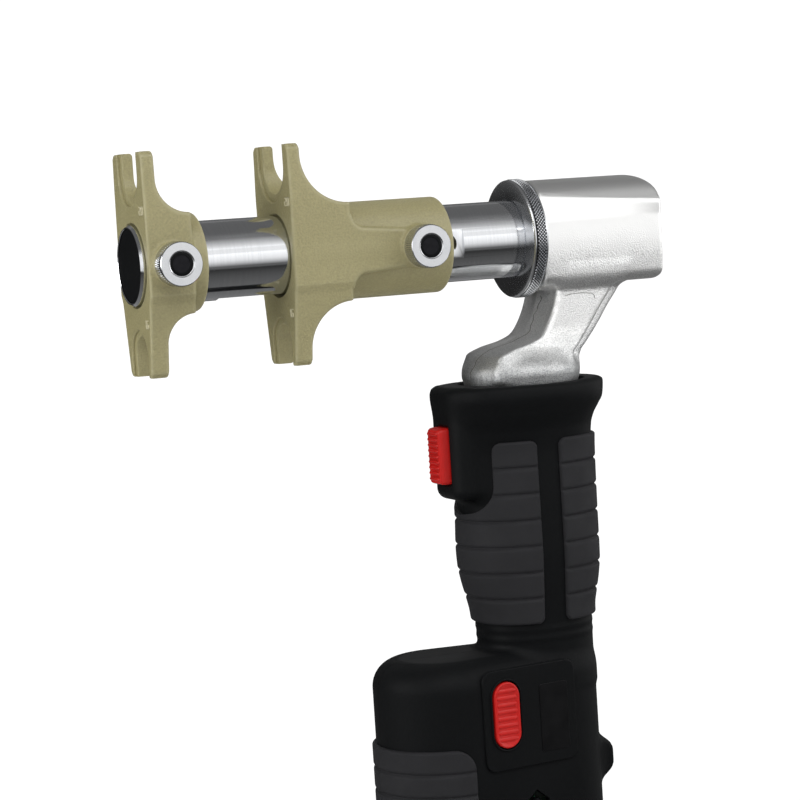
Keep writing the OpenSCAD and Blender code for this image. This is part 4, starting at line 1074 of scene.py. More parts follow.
class PRESS_OT_controls(bpy.types.Operator):
    """Builds the ribbed trigger, the side button and the rim round it"""

    bl_idname = "press.controls"
    bl_label = "Controls"

    def execute(self, context):
        red = red_abs()
        lowest, highest = low("trigger"), high("trigger")
        tall = highest[2] - lowest[2] - 4
        z = (lowest[2] + highest[2]) / 2
        front, back = lowest[0] - 1.1, highest[0]
        place = (0, 0, z), LEFT, UP, ALONG
        # Added width, added height and the place along the press line, from the face to the back.
        rows = [
            (-5.0, -5.0, front + 0.35),
            (-2.6, -2.6, front + 0.1),
            (-1.2, -1.2, front + 0.35),
            (-0.35, -0.35, front + 1.1),
            (0, 0, front + 2.2),
            (0, 0, back - 2.2),
            (2.2, 4, back - 2.2),
            (2.2, 4, back),
        ]
        loops = [lay(rounded(TRIGGER_W + a, tall + b, 1.4), place, x) for a, b, x in rows]
        trigger = tower("trigger_lever", loops, red)
        count = 9
        gap = (tall - 2.2) / count
        add_ribs(trigger, red, TRIGGER_W - 2, 1.3, count, gap, (front + 0.12, 0, z), (LEFT, UP, AHEAD))
        stand_for(trigger, "trigger", "red_plastic", "trigger")

        origin, *axes = side_frame(BUTTON_X, BUTTON_Z)
        over = sizes("panel")
        dish = over + 0.55
        # Added width, added height, the run outward and a shift upward, from the foot to the dished face.
        rows = [
            (3.0, -3.4, -WALL - 2.1, -2),
            (3.0, -3.4, -WALL - 0.9, -2),
            (0, -4.0, -WALL - 0.9, -2),
            (0, 0, -WALL - 0.3, 0),
            (0, 0, over + 0.35, 0),
            (-0.3, -0.3, over + 0.75, 0),
            (-1.1, -1.1, over + 0.98, 0),
            (-2.6, -2.6, over + 0.7, 0),
            (-3.4, -3.4, dish, 0),
        ]
        loops = []
        for a, b, run, drop in rows:
            loops.append(lay(stadium(BUTTON_W + a, BUTTON_H + b), (origin + [0, 0, drop], *axes), run))
        button = tower("return_button", loops, red)
        add_ribs(button, red, 8.6, 1.6, 8, 2.5, origin + axes[2] * dish, axes)
        stand_for(button, "release", "red_plastic", "release_button")
        profile = (11.7, 0.0), (13.2, 0.0), (13.0, 0.45), (12.5, 0.62), (11.9, 0.5), (11.7, 0.3)
        longer = BUTTON_H - BUTTON_W
        loops = [lay(stadium(w, w + longer), (origin, *axes), over - 0.05 + run) for w, run in profile]
        rim = tower("button_rim", loops, nylon(), closed=True)
        stand_for(rim, "handle", "black_shell")
        return {"FINISHED"}


# Head

# Front, rear and half width of the arm at a height above the collar.
arm_front = curve(
    [(-20, -18.2), (1, -18), (10, -16.5), (12.5, -11.5), (14.5, -3.5), (16.5, 1), (20, 3.9)]
    + [(25.4, 6.7), (30, 8.3), (40, 11), (80, 21)]
)
arm_rear = curve(
    [(-20, 19.5), (1, 20), (10, 22.5), (12.5, 24.8), (14.5, 26.6), (16.5, 28.3), (20, 31)]
    + [(25.4, 34.8), (30, 38.4), (40, 45.5), (80, 70)]
)
arm_half = curve([(-20, 15.5), (1, 15.5), (10, 15.5), (14.5, 14.5), (20, 14), (30, 14), (40, 15), (80, 15)])


def head_field(x, y, z):
    """The head: cylinder with flat cheeks, leaning arm with a rear rib, and the round base."""
    half_wide, under, rib_half, nose_half = 17.6, 18.3, 7, 10
    nose_out = 1.4
    rise = z - COLLAR_Z
    h = z - PRESS_Z
    tail = np.where(h > 0, meet(x - HEAD_END, h - 21.5, 8), meet(x - HEAD_END, -h - 18.5, 3.5))
    lean = 0.36 - 0.46 * np.clip((x - HEAD_FRONT) / (HEAD_END - HEAD_FRONT), 0, 1)
    cheek = (np.abs(y) - half_wide + lean * np.maximum(h - 6, 0)) / np.hypot(1, lean)
    above = meet(np.hypot(y, h) - 21, cheek, 0.5)
    section = np.where(h > 0, above, meet(np.abs(y) - half_wide + 0.0045 * h * h, -h - under, 4.5))
    barrel = meet(meet(section, tail, 1.5), HEAD_FRONT - x, 0.8)
    front, rear, half = arm_front(rise), arm_rear(rise), arm_half(rise)
    local = x - GRIP_X
    nose = nose_out * np.clip(1 - np.abs(y) / nose_half, 0, 1)
    from_middle = local - (front + rear - rib_half) / 2 - nose_out / 2
    body = plate(from_middle, y, (rear - rib_half - front) / 2 - nose_out / 2, half, 2.2)
    ridge = np.maximum(front - local + nose_out - nose, np.abs(y) - nose_half)
    body = np.minimum(body, np.maximum(ridge, local - rear + 2 * rib_half))
    rib = plate(local - rear + rib_half, y, rib_half, half * 0.5, 2.6)
    arm = meet(join(body, rib, 1.6), z - PRESS_Z + 11, 1)
    arm = meet(arm, COLLAR_Z + 1 - z, 1)
    base_z = RECESS_Z + 0.4
    radius = np.hypot(local, y)
    taper = 0.16 * np.maximum(base_z + 12.5 - z, 0)
    shoulder = ((z - base_z - 15.4) + 0.38 * (radius - 18.3)) / 1.07
    base = meet(radius - BASE_R + np.minimum(taper, 1.1), shoulder, 5)
    base = meet(base, base_z - z, 0.6)
    return join(join(arm, barrel, 3.5), base, 3)


def seam(name, outside, inside, across):
    """A thin strip of painted shade on the head, where rays from outside to inside meet the casting."""
    near, far = np.array(outside, float), np.array(inside, float)
    for _ in range(30):
        mid = (near + far) / 2
        held = (head_field(*mid.T) < 0)[:, None]
        near, far = np.where(held, near, mid), np.where(held, mid, far)
    into = np.asarray(inside, float) - outside
    into /= np.linalg.norm(into, axis=1)[:, None]
    across = np.asarray(across, float)
    loops = [far - 0.2 * into, far + 0.3 * into - 0.25 * across, far + 0.3 * into + 0.25 * across]
    thing = tower(name, list(np.stack(loops, 1)), painted_seam_shade())
    stand_for(thing, "head", "cast_head")


def casting():
    """The head casting with its swivel spigot, the nut's collar and the bore."""
    cast = blasted_casting()
    lowest, highest = (-2, -22.5, RECESS_Z), (HEAD_END, 22.5, PRESS_Z + 21)
    head = skin("press_head", head_field, lowest, highest, 0.65, cast, CAST_SHARP)
    spigot = [(10.4, 0), (11, 0.6), (11, 2.5), (9.2, 2.5), (9.2, 4.9), (11, 4.9)]
    spigot += [(11, 6), (9, 6), (9, 8.4), (11, 8.4), (11, 22.5)]
    carve(head, turned("spigot", spigot, (GRIP_X, 0, RECESS_Z - 21), UP, cast), way="UNION", sharp=CAST_SHARP)
    collar = [(17.4, 0), (18, 0.6), (18, 3)]
    ring = turned("collar", collar, (NUT_X + 4.2, 0, PRESS_Z), ALONG, cast)
    carve(head, ring, way="UNION", sharp=CAST_SHARP)
    bore = [(BORE_R + 0.6, 0), (BORE_R + 0.6, 4.4), (BORE_R, 5), (BORE_R, HEAD_END - 5 - NUT_X)]
    carve(head, turned("bore", bore, (NUT_X, 0, PRESS_Z), ALONG), sharp=CAST_SHARP)
    stand_for(head, "head", "cast_head", "head_casting")


def casting_seams():
    """Painted shade on the wavy parting line down the arm's front and on the core's line by the rear rib."""
    z = np.linspace(COLLAR_Z + 3, PRESS_Z - 21.5, 140)
    y = 0.7 * np.sin(z * 0.55) + 0.35 * np.sin(z * 1.7 + 1) - 2.5
    ends = [np.stack([np.full_like(z, GRIP_X + v), y, z], 1) for v in (-26, 20)]
    seam("parting_flash", *ends, RIGHT)
    t = np.linspace(0, 1, 60)
    run, hook = np.minimum(t / 0.8, 1), np.clip((t - 0.8) / 0.2, 0, 1)
    x = GRIP_X + 13 + 10.5 * run + 1.6 * np.sin(hook * np.pi / 2)
    z = PRESS_Z - 21.6 + 0.5 * np.sin(run * 3) - 2.2 * hook**2
    ends = [np.stack([x, np.full_like(x, v), z], 1) for v in (-26, -3)]
    seam("core_print_line", *ends, UP)


def gland_nut():
    """The gland nut with a knurl of small studs on a helix, and painted shade in the valleys between them."""
    chrome = turned_chrome()
    place = (NUT_X, 0, PRESS_Z)
    outer = high("gland_nut")[1] - sizes("knurl")
    wide = high("gland_nut")[0] - NUT_X
    profile = [(14.1, 0.5), (14.6, 0), (20.6, 0), (outer + 0.1, 0.45), (outer + 0.15, 0.85)]
    profile += [(outer - 0.15, 1.0), (outer - 0.15, wide - 1.0), (outer + 0.15, wide - 0.85)]
    profile += [(outer + 0.1, wide - 0.4), (20.9, wide), (18.1, wide), (18.1, 2), (14.1, 2)]
    nut = turned("knurled_gland_nut", profile, place, ALONG, chrome, closed=True)
    pitch, margin, around = 0.62, 1.2, 108
    corners = np.array([(-1, 0), (0, -1), (1, 0), (0, 1)]) * pitch
    steps = (1, outer - 0.3), (0.5, outer - 0.1 + sizes("knurl"))
    stud = stack("studs", lambda g: corners * g, ((0, 0, 0), ALONG, RIGHT, UP), steps)
    rows = round((wide - 2 * margin) / pitch)
    per_turn = around + 0.5
    shift = ((wide - 2 * margin) / rows / per_turn, 0, 0)
    first = (NUT_X + margin + 0.3, 0, PRESS_Z)
    total = int(per_turn * rows)
    turn = 2 * math.pi / per_turn
    merge(nut, repeat(stud, chrome, total, first, shift, ALONG, turn, RIDGE_SHARP))
    stand_for(nut, "head", "hard_chrome", "gland_nut")
    # Painted shade: a black sleeve just under the studs darkens the valleys of the chrome knurl.
    start, end = 1.05, wide - 1.05
    profile = [(outer - 0.5, start), (outer - 0.02, start), (outer - 0.02, end), (outer - 0.5, end)]
    valley = turned("knurl_valleys", profile, place, ALONG, black_oxide_and_valley_shade(), closed=True)
    stand_for(valley, "head", "black_steel")


class PRESS_OT_head(bpy.types.Operator):
    """Builds the head casting, painted shade along its seams and the knurled gland nut"""

    bl_idname = "press.head"
    bl_label = "Head"

    def execute(self, context):
        casting()
        casting_seams()
        gland_nut()
        return {"FINISHED"}


class PRESS_OT_rods(bpy.types.Operator):
    """Builds the guide tube, the yoke carrier and the cap on its end"""

    bl_idname = "press.rods"
    bl_label = "Rods"

    def execute(self, context):
        chrome = ground_chrome()
        near = -ROD_R + 5
        hole = [(PIN_HOLE_R, 0), (PIN_HOLE_R, 6)]
        start, end = low("guide_tube")[0], high("guide_tube")[0]
        ledge = NUT_X + 2.05 - start
        profile = [(8.05, 0), (13.2, 0), (ROD_R, 0.8), (ROD_R, ledge), (17.9, ledge), (17.9, ledge + 2.05)]
        profile += [(BORE_R - 0.03, ledge + 2.05), (BORE_R - 0.03, end - start), (8.05, end - start)]
        place = (start, 0, PRESS_Z)
        tube = turned("chromed_guide_tube", profile, place, ALONG, chrome, closed=True, count=256)
        tools = [turned("index", hole, (INNER_PIN_X, near, PRESS_Z), LEFT, count=48)]
        tools.append(turned("spare", [(3.7, 0), (3.7, 6)], (INNER_PIN_X + 12, near, PRESS_Z), LEFT, count=48))
        flat = (INNER_PIN_X + 4, -ROD_R - 9, PRESS_Z - 8), (INNER_PIN_X + 18.2, -ROD_R + 1, PRESS_Z + 8)
        tools.append(block_of("flat", *flat))
        carve(tube, *tools, sharp=ROD_SHARP)
        stand_for(tube, "head", "hard_chrome", "guide_tube")

        start, end = low("yoke_carrier")[0], high("yoke_carrier")[0]
        pull = low("pull_rod")[0] - start - 0.5
        profile = [(0.01, 2), (ROD_R - 1.2, 2), (ROD_R - 1.2, 0.15), (ROD_R - 1, 0), (ROD_R - 0.7, 0)]
        profile += [(ROD_R, 0.9), (ROD_R, end - start), (8.03, end - start), (8.03, pull), (0.01, pull)]
        carrier = turned("chromed_yoke_carrier", profile, (start, 0, PRESS_Z), ALONG, chrome, count=256)
        groove = (INNER_FACE - 24, -7, PRESS_Z - ROD_R - 1), (end + 5, 7, PRESS_Z - ROD_R + 0.8)
        tools = [turned("index", hole, (OUTER_PIN_X, near, PRESS_Z), LEFT, count=48)]
        carve(carrier, *tools, block_of("groove", *groove), sharp=ROD_SHARP)
        stand_for(carrier, "press_rod", "hard_chrome", "yoke_carrier")

        start = low("rod_cap")[0]
        profile = [(0.01, 0.1), (11.2, 0.1), (11.9, 0.0), (12.5, 0.2)]
        profile += [(12.72, 0.6), (12.72, 1.6), (0.01, 1.6)]
        cap = turned("rod_end_cap", profile, (start, 0, PRESS_Z), ALONG, nylon())
        stand_for(cap, "press_rod", "black_shell", "rod_cap")
        return {"FINISHED"}


# Yokes


def yoke_field(face, fork, reach, top, under, pin_x):
    """A forked yoke: plate with concave flares to the hub, sleeve, lock boss and the rib between."""
    edge, fillet = sizes("cast_edge"), sizes("cast_fillet")
    half = 38.5
    contour = [(top - 1.5, half), (top, half - 1.5), (top + 0.7, 20), (HUB_R + 0.1, 4), (HUB_R + 0.1, -10.5)]
    contour += [(under + 3.9, -13.5), (under + 2, -25), (under, 1.5 - half), (under - 1.5, -half)]
    contour += [(-y, z) for y, z in contour[::-1]]
    back, r = face + fork + 0.5, 5.0
    if pin_x > back + r:
        t = np.radians(np.arange(0, 91, 15))
        rib = [(back - 12, 8 + r), (back - 0.5, 8 + r)]
        rib += list(zip(back + r - r * np.cos(t), 8 + r - r * np.sin(t))) + [(pin_x, 6.2)]
    else:
        rib = [(back - 12, 8), (pin_x, 8)]
    rib += [(x, -z) for x, z in rib[::-1]]

    def field(x, y, z):
        h = z - PRESS_Z
        thick = np.where(h > 0, 4.8, 6.6)
        bend = fork - thick
        behind = join(x - face - thick, np.maximum(x - face - fork, np.abs(h) - HUB_R), bend)
        profile = np.minimum(behind, np.maximum(outline(x, h, rib), y + 2))
        body = meet(meet(profile, outline(y, h, contour), edge), face - x, 0.8)
        sleeve = meet(np.hypot(y, h) - HUB_R, x - face - reach, 1.0)
        sleeve = np.maximum(sleeve, face + 8 - x)
        boss = meet(np.hypot(x - pin_x, h) - 7.45, -y - 19, 0.6)
        return join(join(body, sleeve, 0.7), np.maximum(boss, y + 2), fillet)

    return field


def seat_tools(face, r, up, step):
    """Tools for one pipe seat: the slot through the fork and the shallow step round it."""
    place = (face, 0, PRESS_Z + up * 31), (0, -up, 0), (0, 0, up), ALONG
    wide = r + step
    rows = {"step": [(wide + 0.6, -3), (wide + 0.35, -0.05), (wide, 0.3), (wide, 1)]}
    rows["slot"] = [(r + 0.3, 0.95), (r, 1.3), (r, 30)]
    return [stack(name, lambda radius: notch(radius, 30), place, steps) for name, steps in rows.items()]


# Strokes of each figure, by letter, and where each stroke's middle lies across and up the figure.
STROKES = {"0": "abcdef", "1": "bc", "2": "abged", "6": "afgedc"}
SPOTS = {"a": (0, 2), "b": (1, 1.5), "c": (1, 0.5), "d": (0, 0), "e": (-1, 0.5), "f": (-1, 1.5), "g": (0, 1)}


def digits(word, face, y, z, material):
    """Raised size digits on a yoke's front face, each made of short straight strokes."""
    tall, wide, bar = 2.6, 1.5, 0.36
    steps = (0, -0.3), (0, 0.18), (0.1, 0.26)
    marks = None
    for k, figure in enumerate(word):
        for stroke in STROKES[figure]:
            across, up = SPOTS[stroke]
            long, high_up = (wide + bar, bar) if across == 0 else (bar, tall / 2 + bar)
            middle_y = y - (k - 0.5) * (wide + 0.9) - across * wide / 2
            place = (face, middle_y, z + (up - 1) * tall / 2), RIGHT, UP, AHEAD
            loops = [lay(rounded(long - g, high_up - g, 0.12, 3), place, run) for g, run in steps]
            mark = tower("mark", loops, material)
            marks = merge(marks, mark) if marks else mark
    return marks


class PRESS_OT_yokes(bpy.types.Operator):
    """Builds the two forked yokes with their pipe seats and size digits"""

    bl_idname = "press.yokes"
    bl_label = "Yokes"

    def execute(self, context):
        coat = powder_coat()
        # Name, body, front face, depth of the flares, whole reach, half width at the top and at the bottom,
        # radius of the upper and of the lower pipe seat, and the lock pin's place.
        rows = (
            ("inner", "head", INNER_FACE, 22, 61, 17.2, 12.4, 9.5, 7.0, INNER_PIN_X),
            ("outer", "press_rod", OUTER_FACE, 16.5, 21.6, 16.3, 11.8, 7.8, 6.6, OUTER_PIN_X),
        )
        for word, body, face, fork, reach, top, under, upper_r, lower_r, pin_x in rows:
            field = yoke_field(face, fork, reach, top, under, pin_x)
            lowest, highest = (face, -19.5, PRESS_Z - 39), (face + reach, 18, PRESS_Z + 39)
            yoke = skin(f"{word}_forked_yoke", field, lowest, highest, 0.55, coat, CAST_SHARP)
            bore = [(14.8, -2), (14.8, 0.05), (14.05, 0.8)]
            bore += [(r, reach - run) for r, run in bore[::-1]]
            carve(yoke, turned("bore", bore, (face, 0, PRESS_Z), ALONG), sharp=CAST_SHARP)
            seats = seat_tools(face, upper_r, 1, 3) + seat_tools(face, lower_r, -1, 2.2)
            carve(yoke, *seats, sharp=CAST_SHARP)
            carve(yoke, turned("pin", [(5, 0), (5, 30)], (pin_x, -10, PRESS_Z), LEFT), sharp=CAST_SHARP)
            for size, y, z in zip(PIPE_SIZES, (-top + 3.2, -under + 1.2), (18.5, -20)):
                marks = digits(size, face, y, PRESS_Z + z, rubbed_paint())
                marks.name = f"{word}_size_{size}"
                stand_for(marks, body, "khaki_paint")
            stand_for(yoke, body, "khaki_paint", f"{word}_yoke")
        return {"FINISHED"}


class PRESS_OT_locks(bpy.types.Operator):
    """Builds the ridged lock knobs and the plugs in their ends"""

    bl_idname = "press.locks"
    bl_label = "Lock knobs"

    def execute(self, context):
        chrome = turned_chrome()
        rise, count = sizes("ridge"), 64
        for word, x in (("inner", INNER_PIN_X), ("outer", OUTER_PIN_X)):
            node, body = f"{word}_knob", f"{word}_lock"
            place = (x, high(node)[1], PRESS_Z)
            out, r = high(node)[1] - low(node)[1], high(node)[2] - PRESS_Z - rise
            profile = [(5.7, 0), (r - 0.5, 0), (r, 0.5), (r, out - 0.75), (r - 0.05, out - 0.25)]
            profile += [(r - 0.3, out), (4.6, out), (4.4, out - 0.2), (4.15, out - 0.3), (4.15, out - 1.2)]
            profile += [(2.03, out - 1.2), (2.03, 4.8), (5.7, 4.8)]
            knob = turned(f"{word}_lock_knob", profile, place, LEFT, chrome, closed=True)
            base, full = r - 0.1, rise + 0.1
            rows = (0.1, 0.05, 0.7), (0.27, full, 1.0), (0.27, full, out - 1.2), (0.1, 0.05, out - 0.9)
            loops = [[(-w, -at, base), (0, -at, base + h), (w, -at, base)] for w, h, at in rows]
            turn = 2 * math.pi / count
            ridge = tower("ridges", loops)
            merge(knob, repeat(ridge, chrome, count, place, (0, 0, 0), RIGHT, turn, RIDGE_SHARP))
            stand_for(knob, body, "hard_chrome", node)
            profile = [(0.01, out - 1.25), (4.1, out - 1.25), (4.1, out - 0.4), (3.9, out - 0.28)]
            profile += [(3.1, out - 0.28), (2.9, out - 0.5), (0.01, out - 0.5)]
            plug = turned(f"{word}_knob_plug", profile, place, LEFT, nylon(), count=64)
            stand_for(plug, body, "black_shell")
        return {"FINISHED"}


# Pack, screws, springs and inner parts


def copy_of(name, node, material):
    """A piece with a CAD node's own mesh, its doubles merged."""
    mesh = frame["nodes"][node].data.copy()
    work = bmesh.new()
    work.from_mesh(mesh)
    bmesh.ops.remove_doubles(work, verts=work.verts, dist=1e-6)
    bmesh.ops.dissolve_limit(work, angle_limit=math.radians(1), verts=work.verts, edges=work.edges)
    work.to_mesh(mesh)
    work.free()
    mesh.materials.clear()
    mesh.materials.append(material)
    thing = put(name, mesh)
    dress(thing)
    return thing


def bevelled(name, node, material, width):
    """A copy of a CAD node's mesh with its edges rounded."""
    thing = copy_of(name, node, material)
    step = thing.modifiers.new("round", "BEVEL")
    step.width, step.segments = width / MM, 3
    step.limit_method, step.angle_limit = "ANGLE", math.radians(40)
    settle(thing)
    dress(thing, BEVEL_SHARP)
    return thing


class PRESS_OT_pack(bpy.types.Operator):
    """Builds the battery pack's tray, cover, latch and the well behind the latch"""

    bl_idname = "press.pack"
    bl_label = "Battery pack"

    def execute(self, context):
        coat = nylon()
        for word in ("tray", "cover"):
            part = bevelled(f"pack_{word}", f"battery_{word}", coat, sizes("pack_edge"))
            stand_for(part, "battery", "black_shell", f"battery_{word}")
        lowest, highest = low("battery_latch"), high("battery_latch")
        front, top = lowest[0], highest[2] - 4
        place = (front, 0, (lowest[2] + top) / 2), LEFT, UP, ALONG
        wide, tall = highest[1] - lowest[1], top - lowest[2]
        steps = (0.6, 0), (0.18, 0.15), (0, 0.5), (0, highest[0] - front)
        latch = stack("pack_latch", lambda g: rounded(wide - 2 * g, tall - 2 * g, 1), place, steps, red_abs())
        tongue = block_of("tongue", (front, -8, top - 0.5), (front + 3, 8, highest[2]))
        carve(latch, tongue, way="UNION")
        rows = [lowest[2] + 2 + 2.6 * k for k in range(5)]
        carve(latch, *(block_of("groove", (front - 2, -12, z), (front + 0.6, 12, z + 1.2)) for z in rows))
        stand_for(latch, "battery_latch", "red_plastic", "battery_latch")
        well = block_of("latch_well", (-55, -17, lowest[2] - 13), (-50.2, 17, PACK_TOP - 3), coat)
        carve(well, block_of("room", (-60, -15.02, lowest[2] - 11.02), (-51.4, 15.02, PACK_TOP + 9)))
        stand_for(well, "battery", "black_shell")
        return {"FINISHED"}


class PRESS_OT_screws(bpy.types.Operator):
    """Builds the seven housing screws"""

    bl_idname = "press.screws"
    bl_label = "Screws"

    def execute(self, context):
        profile = [(1.3, -15.8), (1.3, 0), (2.6, 0), (2.6, 2.1), (2.2, 2.55), (1.25, 2.55), (1.25, 1.0)]
        form = turned("screw", profile + [(0.01, 1.0)], (0, 8.05, 0), RIGHT, count=24)
        screws = copies("housing_screw_set", form, [(x, 0, z) for x, z in SCREWS], zinc_steel())
        stand_for(screws, "handle", "steel", "housing_screws")
        return {"FINISHED"}


class PRESS_OT_springs(bpy.types.Operator):
    """Builds the springs and the button's dome as copies of their CAD meshes, with their finishes"""

    bl_idname = "press.springs"
    bl_label = "Springs"

    def execute(self, context):
        steel, rubber = zinc_steel(), moulded_rubber()
        inward = (SIDE_SIN, -SIDE_COS, 0)
        # CAD node, body, slot, finish, joint, axis, the end that stays and the share of the length kept.
        rows = (
            ("trigger_spring", "handle", "steel", steel, "trigger_press", ALONG, high, 0.26),
            ("latch_spring", "battery", "steel", steel, "battery_latch_press", UP, low, 0.71),
            ("inner_spring", "head", "steel", steel, "inner_lock_pull", RIGHT, low, 0.27),
            ("outer_spring", "press_rod", "steel", steel, "outer_lock_pull", RIGHT, low, 0.27),
            ("return_spring", "head", "steel", steel, "press_stroke", ALONG, high, 0.64),
            ("return_dome", "handle", "seal_rubber", rubber, "release_press", inward, middle, 0.2),
        )
        for node, body, slot, finish, joint, axis, end, keep in rows:
            thing = copy_of(f"{node}_form", node, finish)
            stand_for(thing, body, slot, node)
            stays = end(node)
            if node == "return_dome":
                stays[1] = high(node)[1] - 0.3
            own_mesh(thing)
            tuple(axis)
        return {"FINISHED"}


class PRESS_OT_inner(bpy.types.Operator):
    """Gives the parts that keep their CAD shape their finishes"""

    bl_idname = "press.inner"
    bl_label = "Inner parts"

    def execute(self, context):
        finishes = {
            "black_shell": nylon,
            "cast_head": blasted_casting,
            "steel": zinc_steel,
            "black_steel": black_oxide_and_valley_shade,
            "gear_brass": cut_brass,
            "seal_rubber": moulded_rubber,
            "circuit": laminate,
            "cells": cell_sleeve,
            "ferrite": sintered_ferrite,
            "grey_pad": elastomer,
            "red_plastic": red_abs,
            "khaki_paint": powder_coat,
            "hard_chrome": turned_chrome,
        }
        for row in frame["record"]["subparts"]:
            thing = frame["nodes"][row["node"]]
            for k in range(len(thing.material_slots)):
                thing.material_slots[k].link = "OBJECT"
                thing.material_slots[k].material = finishes[row["material_slot"]]()
        return {"FINISHED"}


# Stage

# The photograph's camera: turn, tilt and roll in degrees, focal length in pixels, pixels for each millimetre
# at the grip, the square picture's side, and the pixel where the collar's middle lies.
TURN, TILT, ROLL = -23.0, 4.5, 3.7
FOCAL, PHOTO_SCALE = 2500.0, 2.73
PHOTO_SIDE, COLLAR_PIXEL = 800, (516, 381)
SENSOR = 36


def photo_camera(scene):
    """A camera that sees the tool as the photograph does."""
    az, el, roll = (math.radians(v) for v in (TURN, TILT, ROLL))
    back = Vector((math.sin(az) * math.cos(el), -math.cos(az) * math.cos(el), math.sin(el)))
    right = Vector((math.cos(az), math.sin(az), 0))
    up = back.cross(right)
    across = math.cos(roll) * right - math.sin(roll) * up
    upward = math.sin(roll) * right + math.cos(roll) * up
    depth = FOCAL / PHOTO_SCALE / MM
    collar = Vector(((GRIP_X - 2) / MM, 0, COLLAR_Z / MM))
    aside, above = COLLAR_PIXEL[0] - PHOTO_SIDE / 2, PHOTO_SIDE / 2 - COLLAR_PIXEL[1]
    lens = bpy.data.cameras.new("camera")
    lens.sensor_width, lens.lens = SENSOR, FOCAL * SENSOR / PHOTO_SIDE
    lens.clip_start, lens.clip_end = 0.05, 50
    camera = put("camera", lens)
    matrix = Matrix((across, upward, back)).transposed().to_4x4()
    spot = collar + back * depth - across * aside / FOCAL * depth
    matrix.translation = spot - upward * above / FOCAL * depth
    camera.matrix_world = matrix
    scene.camera = camera


def white_for_camera(tree, base, strength):
    """Mixes a shader with plain white for camera, glossy and transmitted rays."""
    path = add(tree, "ShaderNodeLightPath").outputs
    seen = path["Is Camera Ray"]
    for ray in ("Is Glossy Ray", "Is Transmission Ray"):
        seen = add(tree, "ShaderNodeMath", {0: seen, 1: path[ray]}, operation="MAXIMUM")
    share = add(tree, "ShaderNodeMath", {0: seen, 1: strength}, operation="MULTIPLY")
    white = add(tree, "ShaderNodeEmission", {"Color": (1, 1, 1, 1), "Strength": 1.1})
    return add(tree, "ShaderNodeMixShader", {0: share, 1: base, 2: white})


def white_room(scene):
    """A dim even light that looks white, and a white floor that keeps the shadow near the tool."""
    world = bpy.data.worlds.new("studio")
    scene.world = world
    tree = fresh_tree(world)
    dim = add(tree, "ShaderNodeBackground", {"Color": (1, 1, 1, 1), "Strength": 0.17})
    add(tree, "ShaderNodeOutputWorld", {"Surface": white_for_camera(tree, dim, 1.0)})

    floor = block_of("floor", (-9e3, -9e3, -3), (9e3, 9e3, -0.2))
    paper = bpy.data.materials.new("white_paper_floor")
    tree = fresh_tree(paper)
    plain = add(tree, "ShaderNodeBsdfDiffuse", {"Color": (0.9, 0.9, 0.9, 1)})
    place = add(tree, "ShaderNodeTexCoord").outputs["Object"]
    ground = add(tree, "ShaderNodeVectorMath", {0: place}, operation="LENGTH").outputs["Value"]
    share = add(tree, "ShaderNodeMapRange", {0: ground, 1: 0.15, 2: 0.5, 3: 0.62, 4: 1.0})
    add(tree, "ShaderNodeOutputMaterial", {"Surface": white_for_camera(tree, plain, share)})
    floor.data.materials.append(paper)


def card(name, lowest, highest, axis, first, last):
    """A graded card that only reflections see, so that bright metal shows bands as in a studio."""
    thing = block_of(name, lowest, highest)
    glowing = bpy.data.materials.new(f"{name}_card")
    tree = fresh_tree(glowing)
    place = add(tree, "ShaderNodeSeparateXYZ", {0: add(tree, "ShaderNodeTexCoord").outputs["Object"]})
    ends = {1: lowest[axis] / MM, 2: highest[axis] / MM, 3: first, 4: last}
    shade = add(tree, "ShaderNodeMapRange", {0: place.outputs[axis], **ends})
    glow = add(tree, "ShaderNodeEmission", {"Strength": shade})
    add(tree, "ShaderNodeOutputMaterial", {"Surface": glow})
    thing.data.materials.append(glowing)
    for ray in ("camera", "diffuse", "transmission", "volume_scatter", "shadow"):
        setattr(thing, f"visible_{ray}", False)


def lamp(name, spot, size, power):
    """An area lamp that points at the tool's upper half."""
    aim = Vector((GRIP_X / MM, 0, 0.27))
    light = bpy.data.lights.new(name, "AREA")
    light.shape, light.energy = "RECTANGLE", power
    light.size, light.size_y = size
    thing = put(name, light)
    thing.location = spot
    thing.rotation_euler = (aim - Vector(spot)).to_track_quat("-Z", "Y").to_euler()


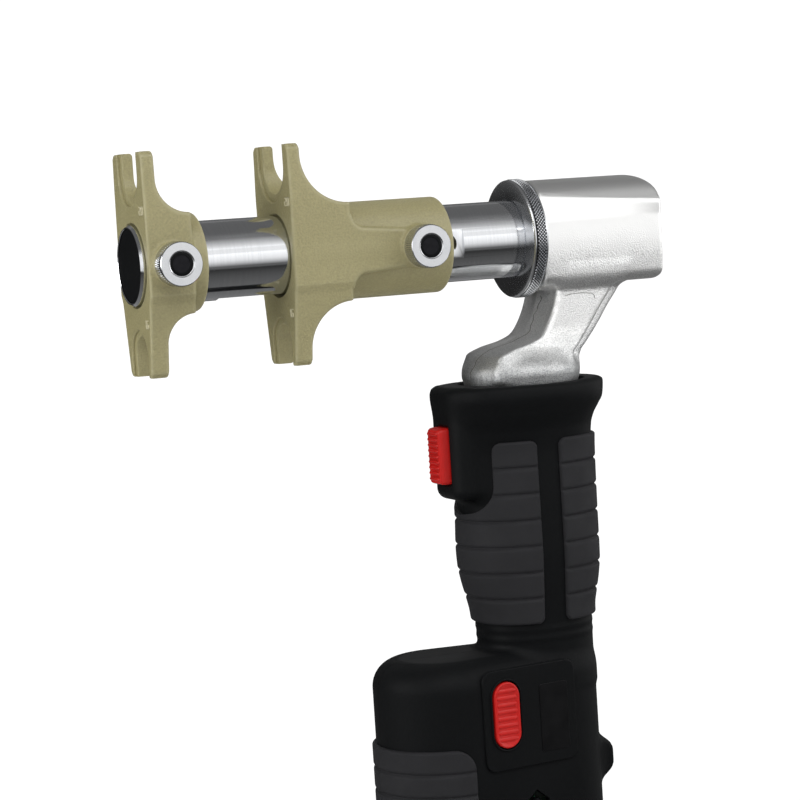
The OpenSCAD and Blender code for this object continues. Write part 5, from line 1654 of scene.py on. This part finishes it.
class PRESS_OT_stage(bpy.types.Operator):
    """Sets the camera, the pale floor, the lamps and the white backdrop"""

    bl_idname = "press.stage"
    bl_label = "Stage"

    def execute(self, context):
        context.scene.view_settings.view_transform = "Standard"
        photo_camera(context.scene)
        white_room(context.scene)
        wide, front, middle_z = 1400, -820, PRESS_Z - 60
        card("behind_low", (-wide, 700, 0), (wide, 720, 380), 2, 0.02, 0.03)
        card("behind_high", (-wide, 700, 380), (wide, 720, 960), 2, 0.03, 0.25)
        card("overhead_front", (-wide, -1100, 950), (wide, -350, 970), 1, 1.4, 0.14)
        card("overhead_back", (-wide, -350, 950), (wide, 720, 970), 1, 0.14, 0.14)
        card("front_low", (-wide, front, 0), (wide, front + 20, middle_z), 2, 0.03, 1.0)
        card("front_high", (-wide, front, middle_z), (wide, front + 20, 560), 2, 1.0, 1.5)
        card("before", (-wide, -800, 1), (wide, -600, 3), 1, 0.2, 0.03)
        card("below", (-wide, -600, 1), (wide, 700, 3), 1, 0.03, 0.3)
        lamp("key", (-0.5, -1.2, 1.5), (1.2, 1.0), 14)
        lamp("left", (-1.5, -0.1, 0.6), (0.9, 0.9), 11)
        lamp("top", (0.65, -0.7, 1.5), (0.6, 0.5), 9)
        lamp("fill", (1.3, -0.9, 0.6), (1.0, 1.0), 7)
        lamp("back", (0.4, 1.4, 1.1), (1.4, 1.0), 14)
        return {"FINISHED"}


OPERATORS = (
    PRESS_OT_housing,
    PRESS_OT_pads,
    PRESS_OT_controls,
    PRESS_OT_head,
    PRESS_OT_rods,
    PRESS_OT_yokes,
    PRESS_OT_locks,
    PRESS_OT_pack,
    PRESS_OT_screws,
    PRESS_OT_springs,
    PRESS_OT_inner,
    PRESS_OT_stage,
)


class PRESS_PT_sidebar(bpy.types.Panel):
    """Lists the press tool's pieces and settings"""

    bl_idname = "PRESS_PT_sidebar"
    bl_label = "Axial pipe press"
    bl_space_type = "VIEW_3D"
    bl_region_type = "UI"
    bl_category = "Press"

    def draw(self, context):
        for group in (context.scene.press_sizes, context.scene.press_colours):
            for word in group.__annotations__:
                self.layout.prop(group, word)
        for operator in OPERATORS:
            self.layout.operator(operator.bl_idname)


CLASSES = (PressSizes, PressColours, *OPERATORS, PRESS_PT_sidebar)


def register():
    for part in CLASSES:
        bpy.utils.register_class(part)
    bpy.types.Scene.press_sizes = bpy.props.PointerProperty(type=PressSizes)
    bpy.types.Scene.press_colours = bpy.props.PointerProperty(type=PressColours)


def unregister():
    del bpy.types.Scene.press_colours
    del bpy.types.Scene.press_sizes
    for part in reversed(CLASSES):
        bpy.utils.unregister_class(part)


def main():
    register()
    for operator in OPERATORS:
        group, word = operator.bl_idname.split(".")
        getattr(getattr(bpy.ops, group), word)()


if __name__ == "__main__":
    main()
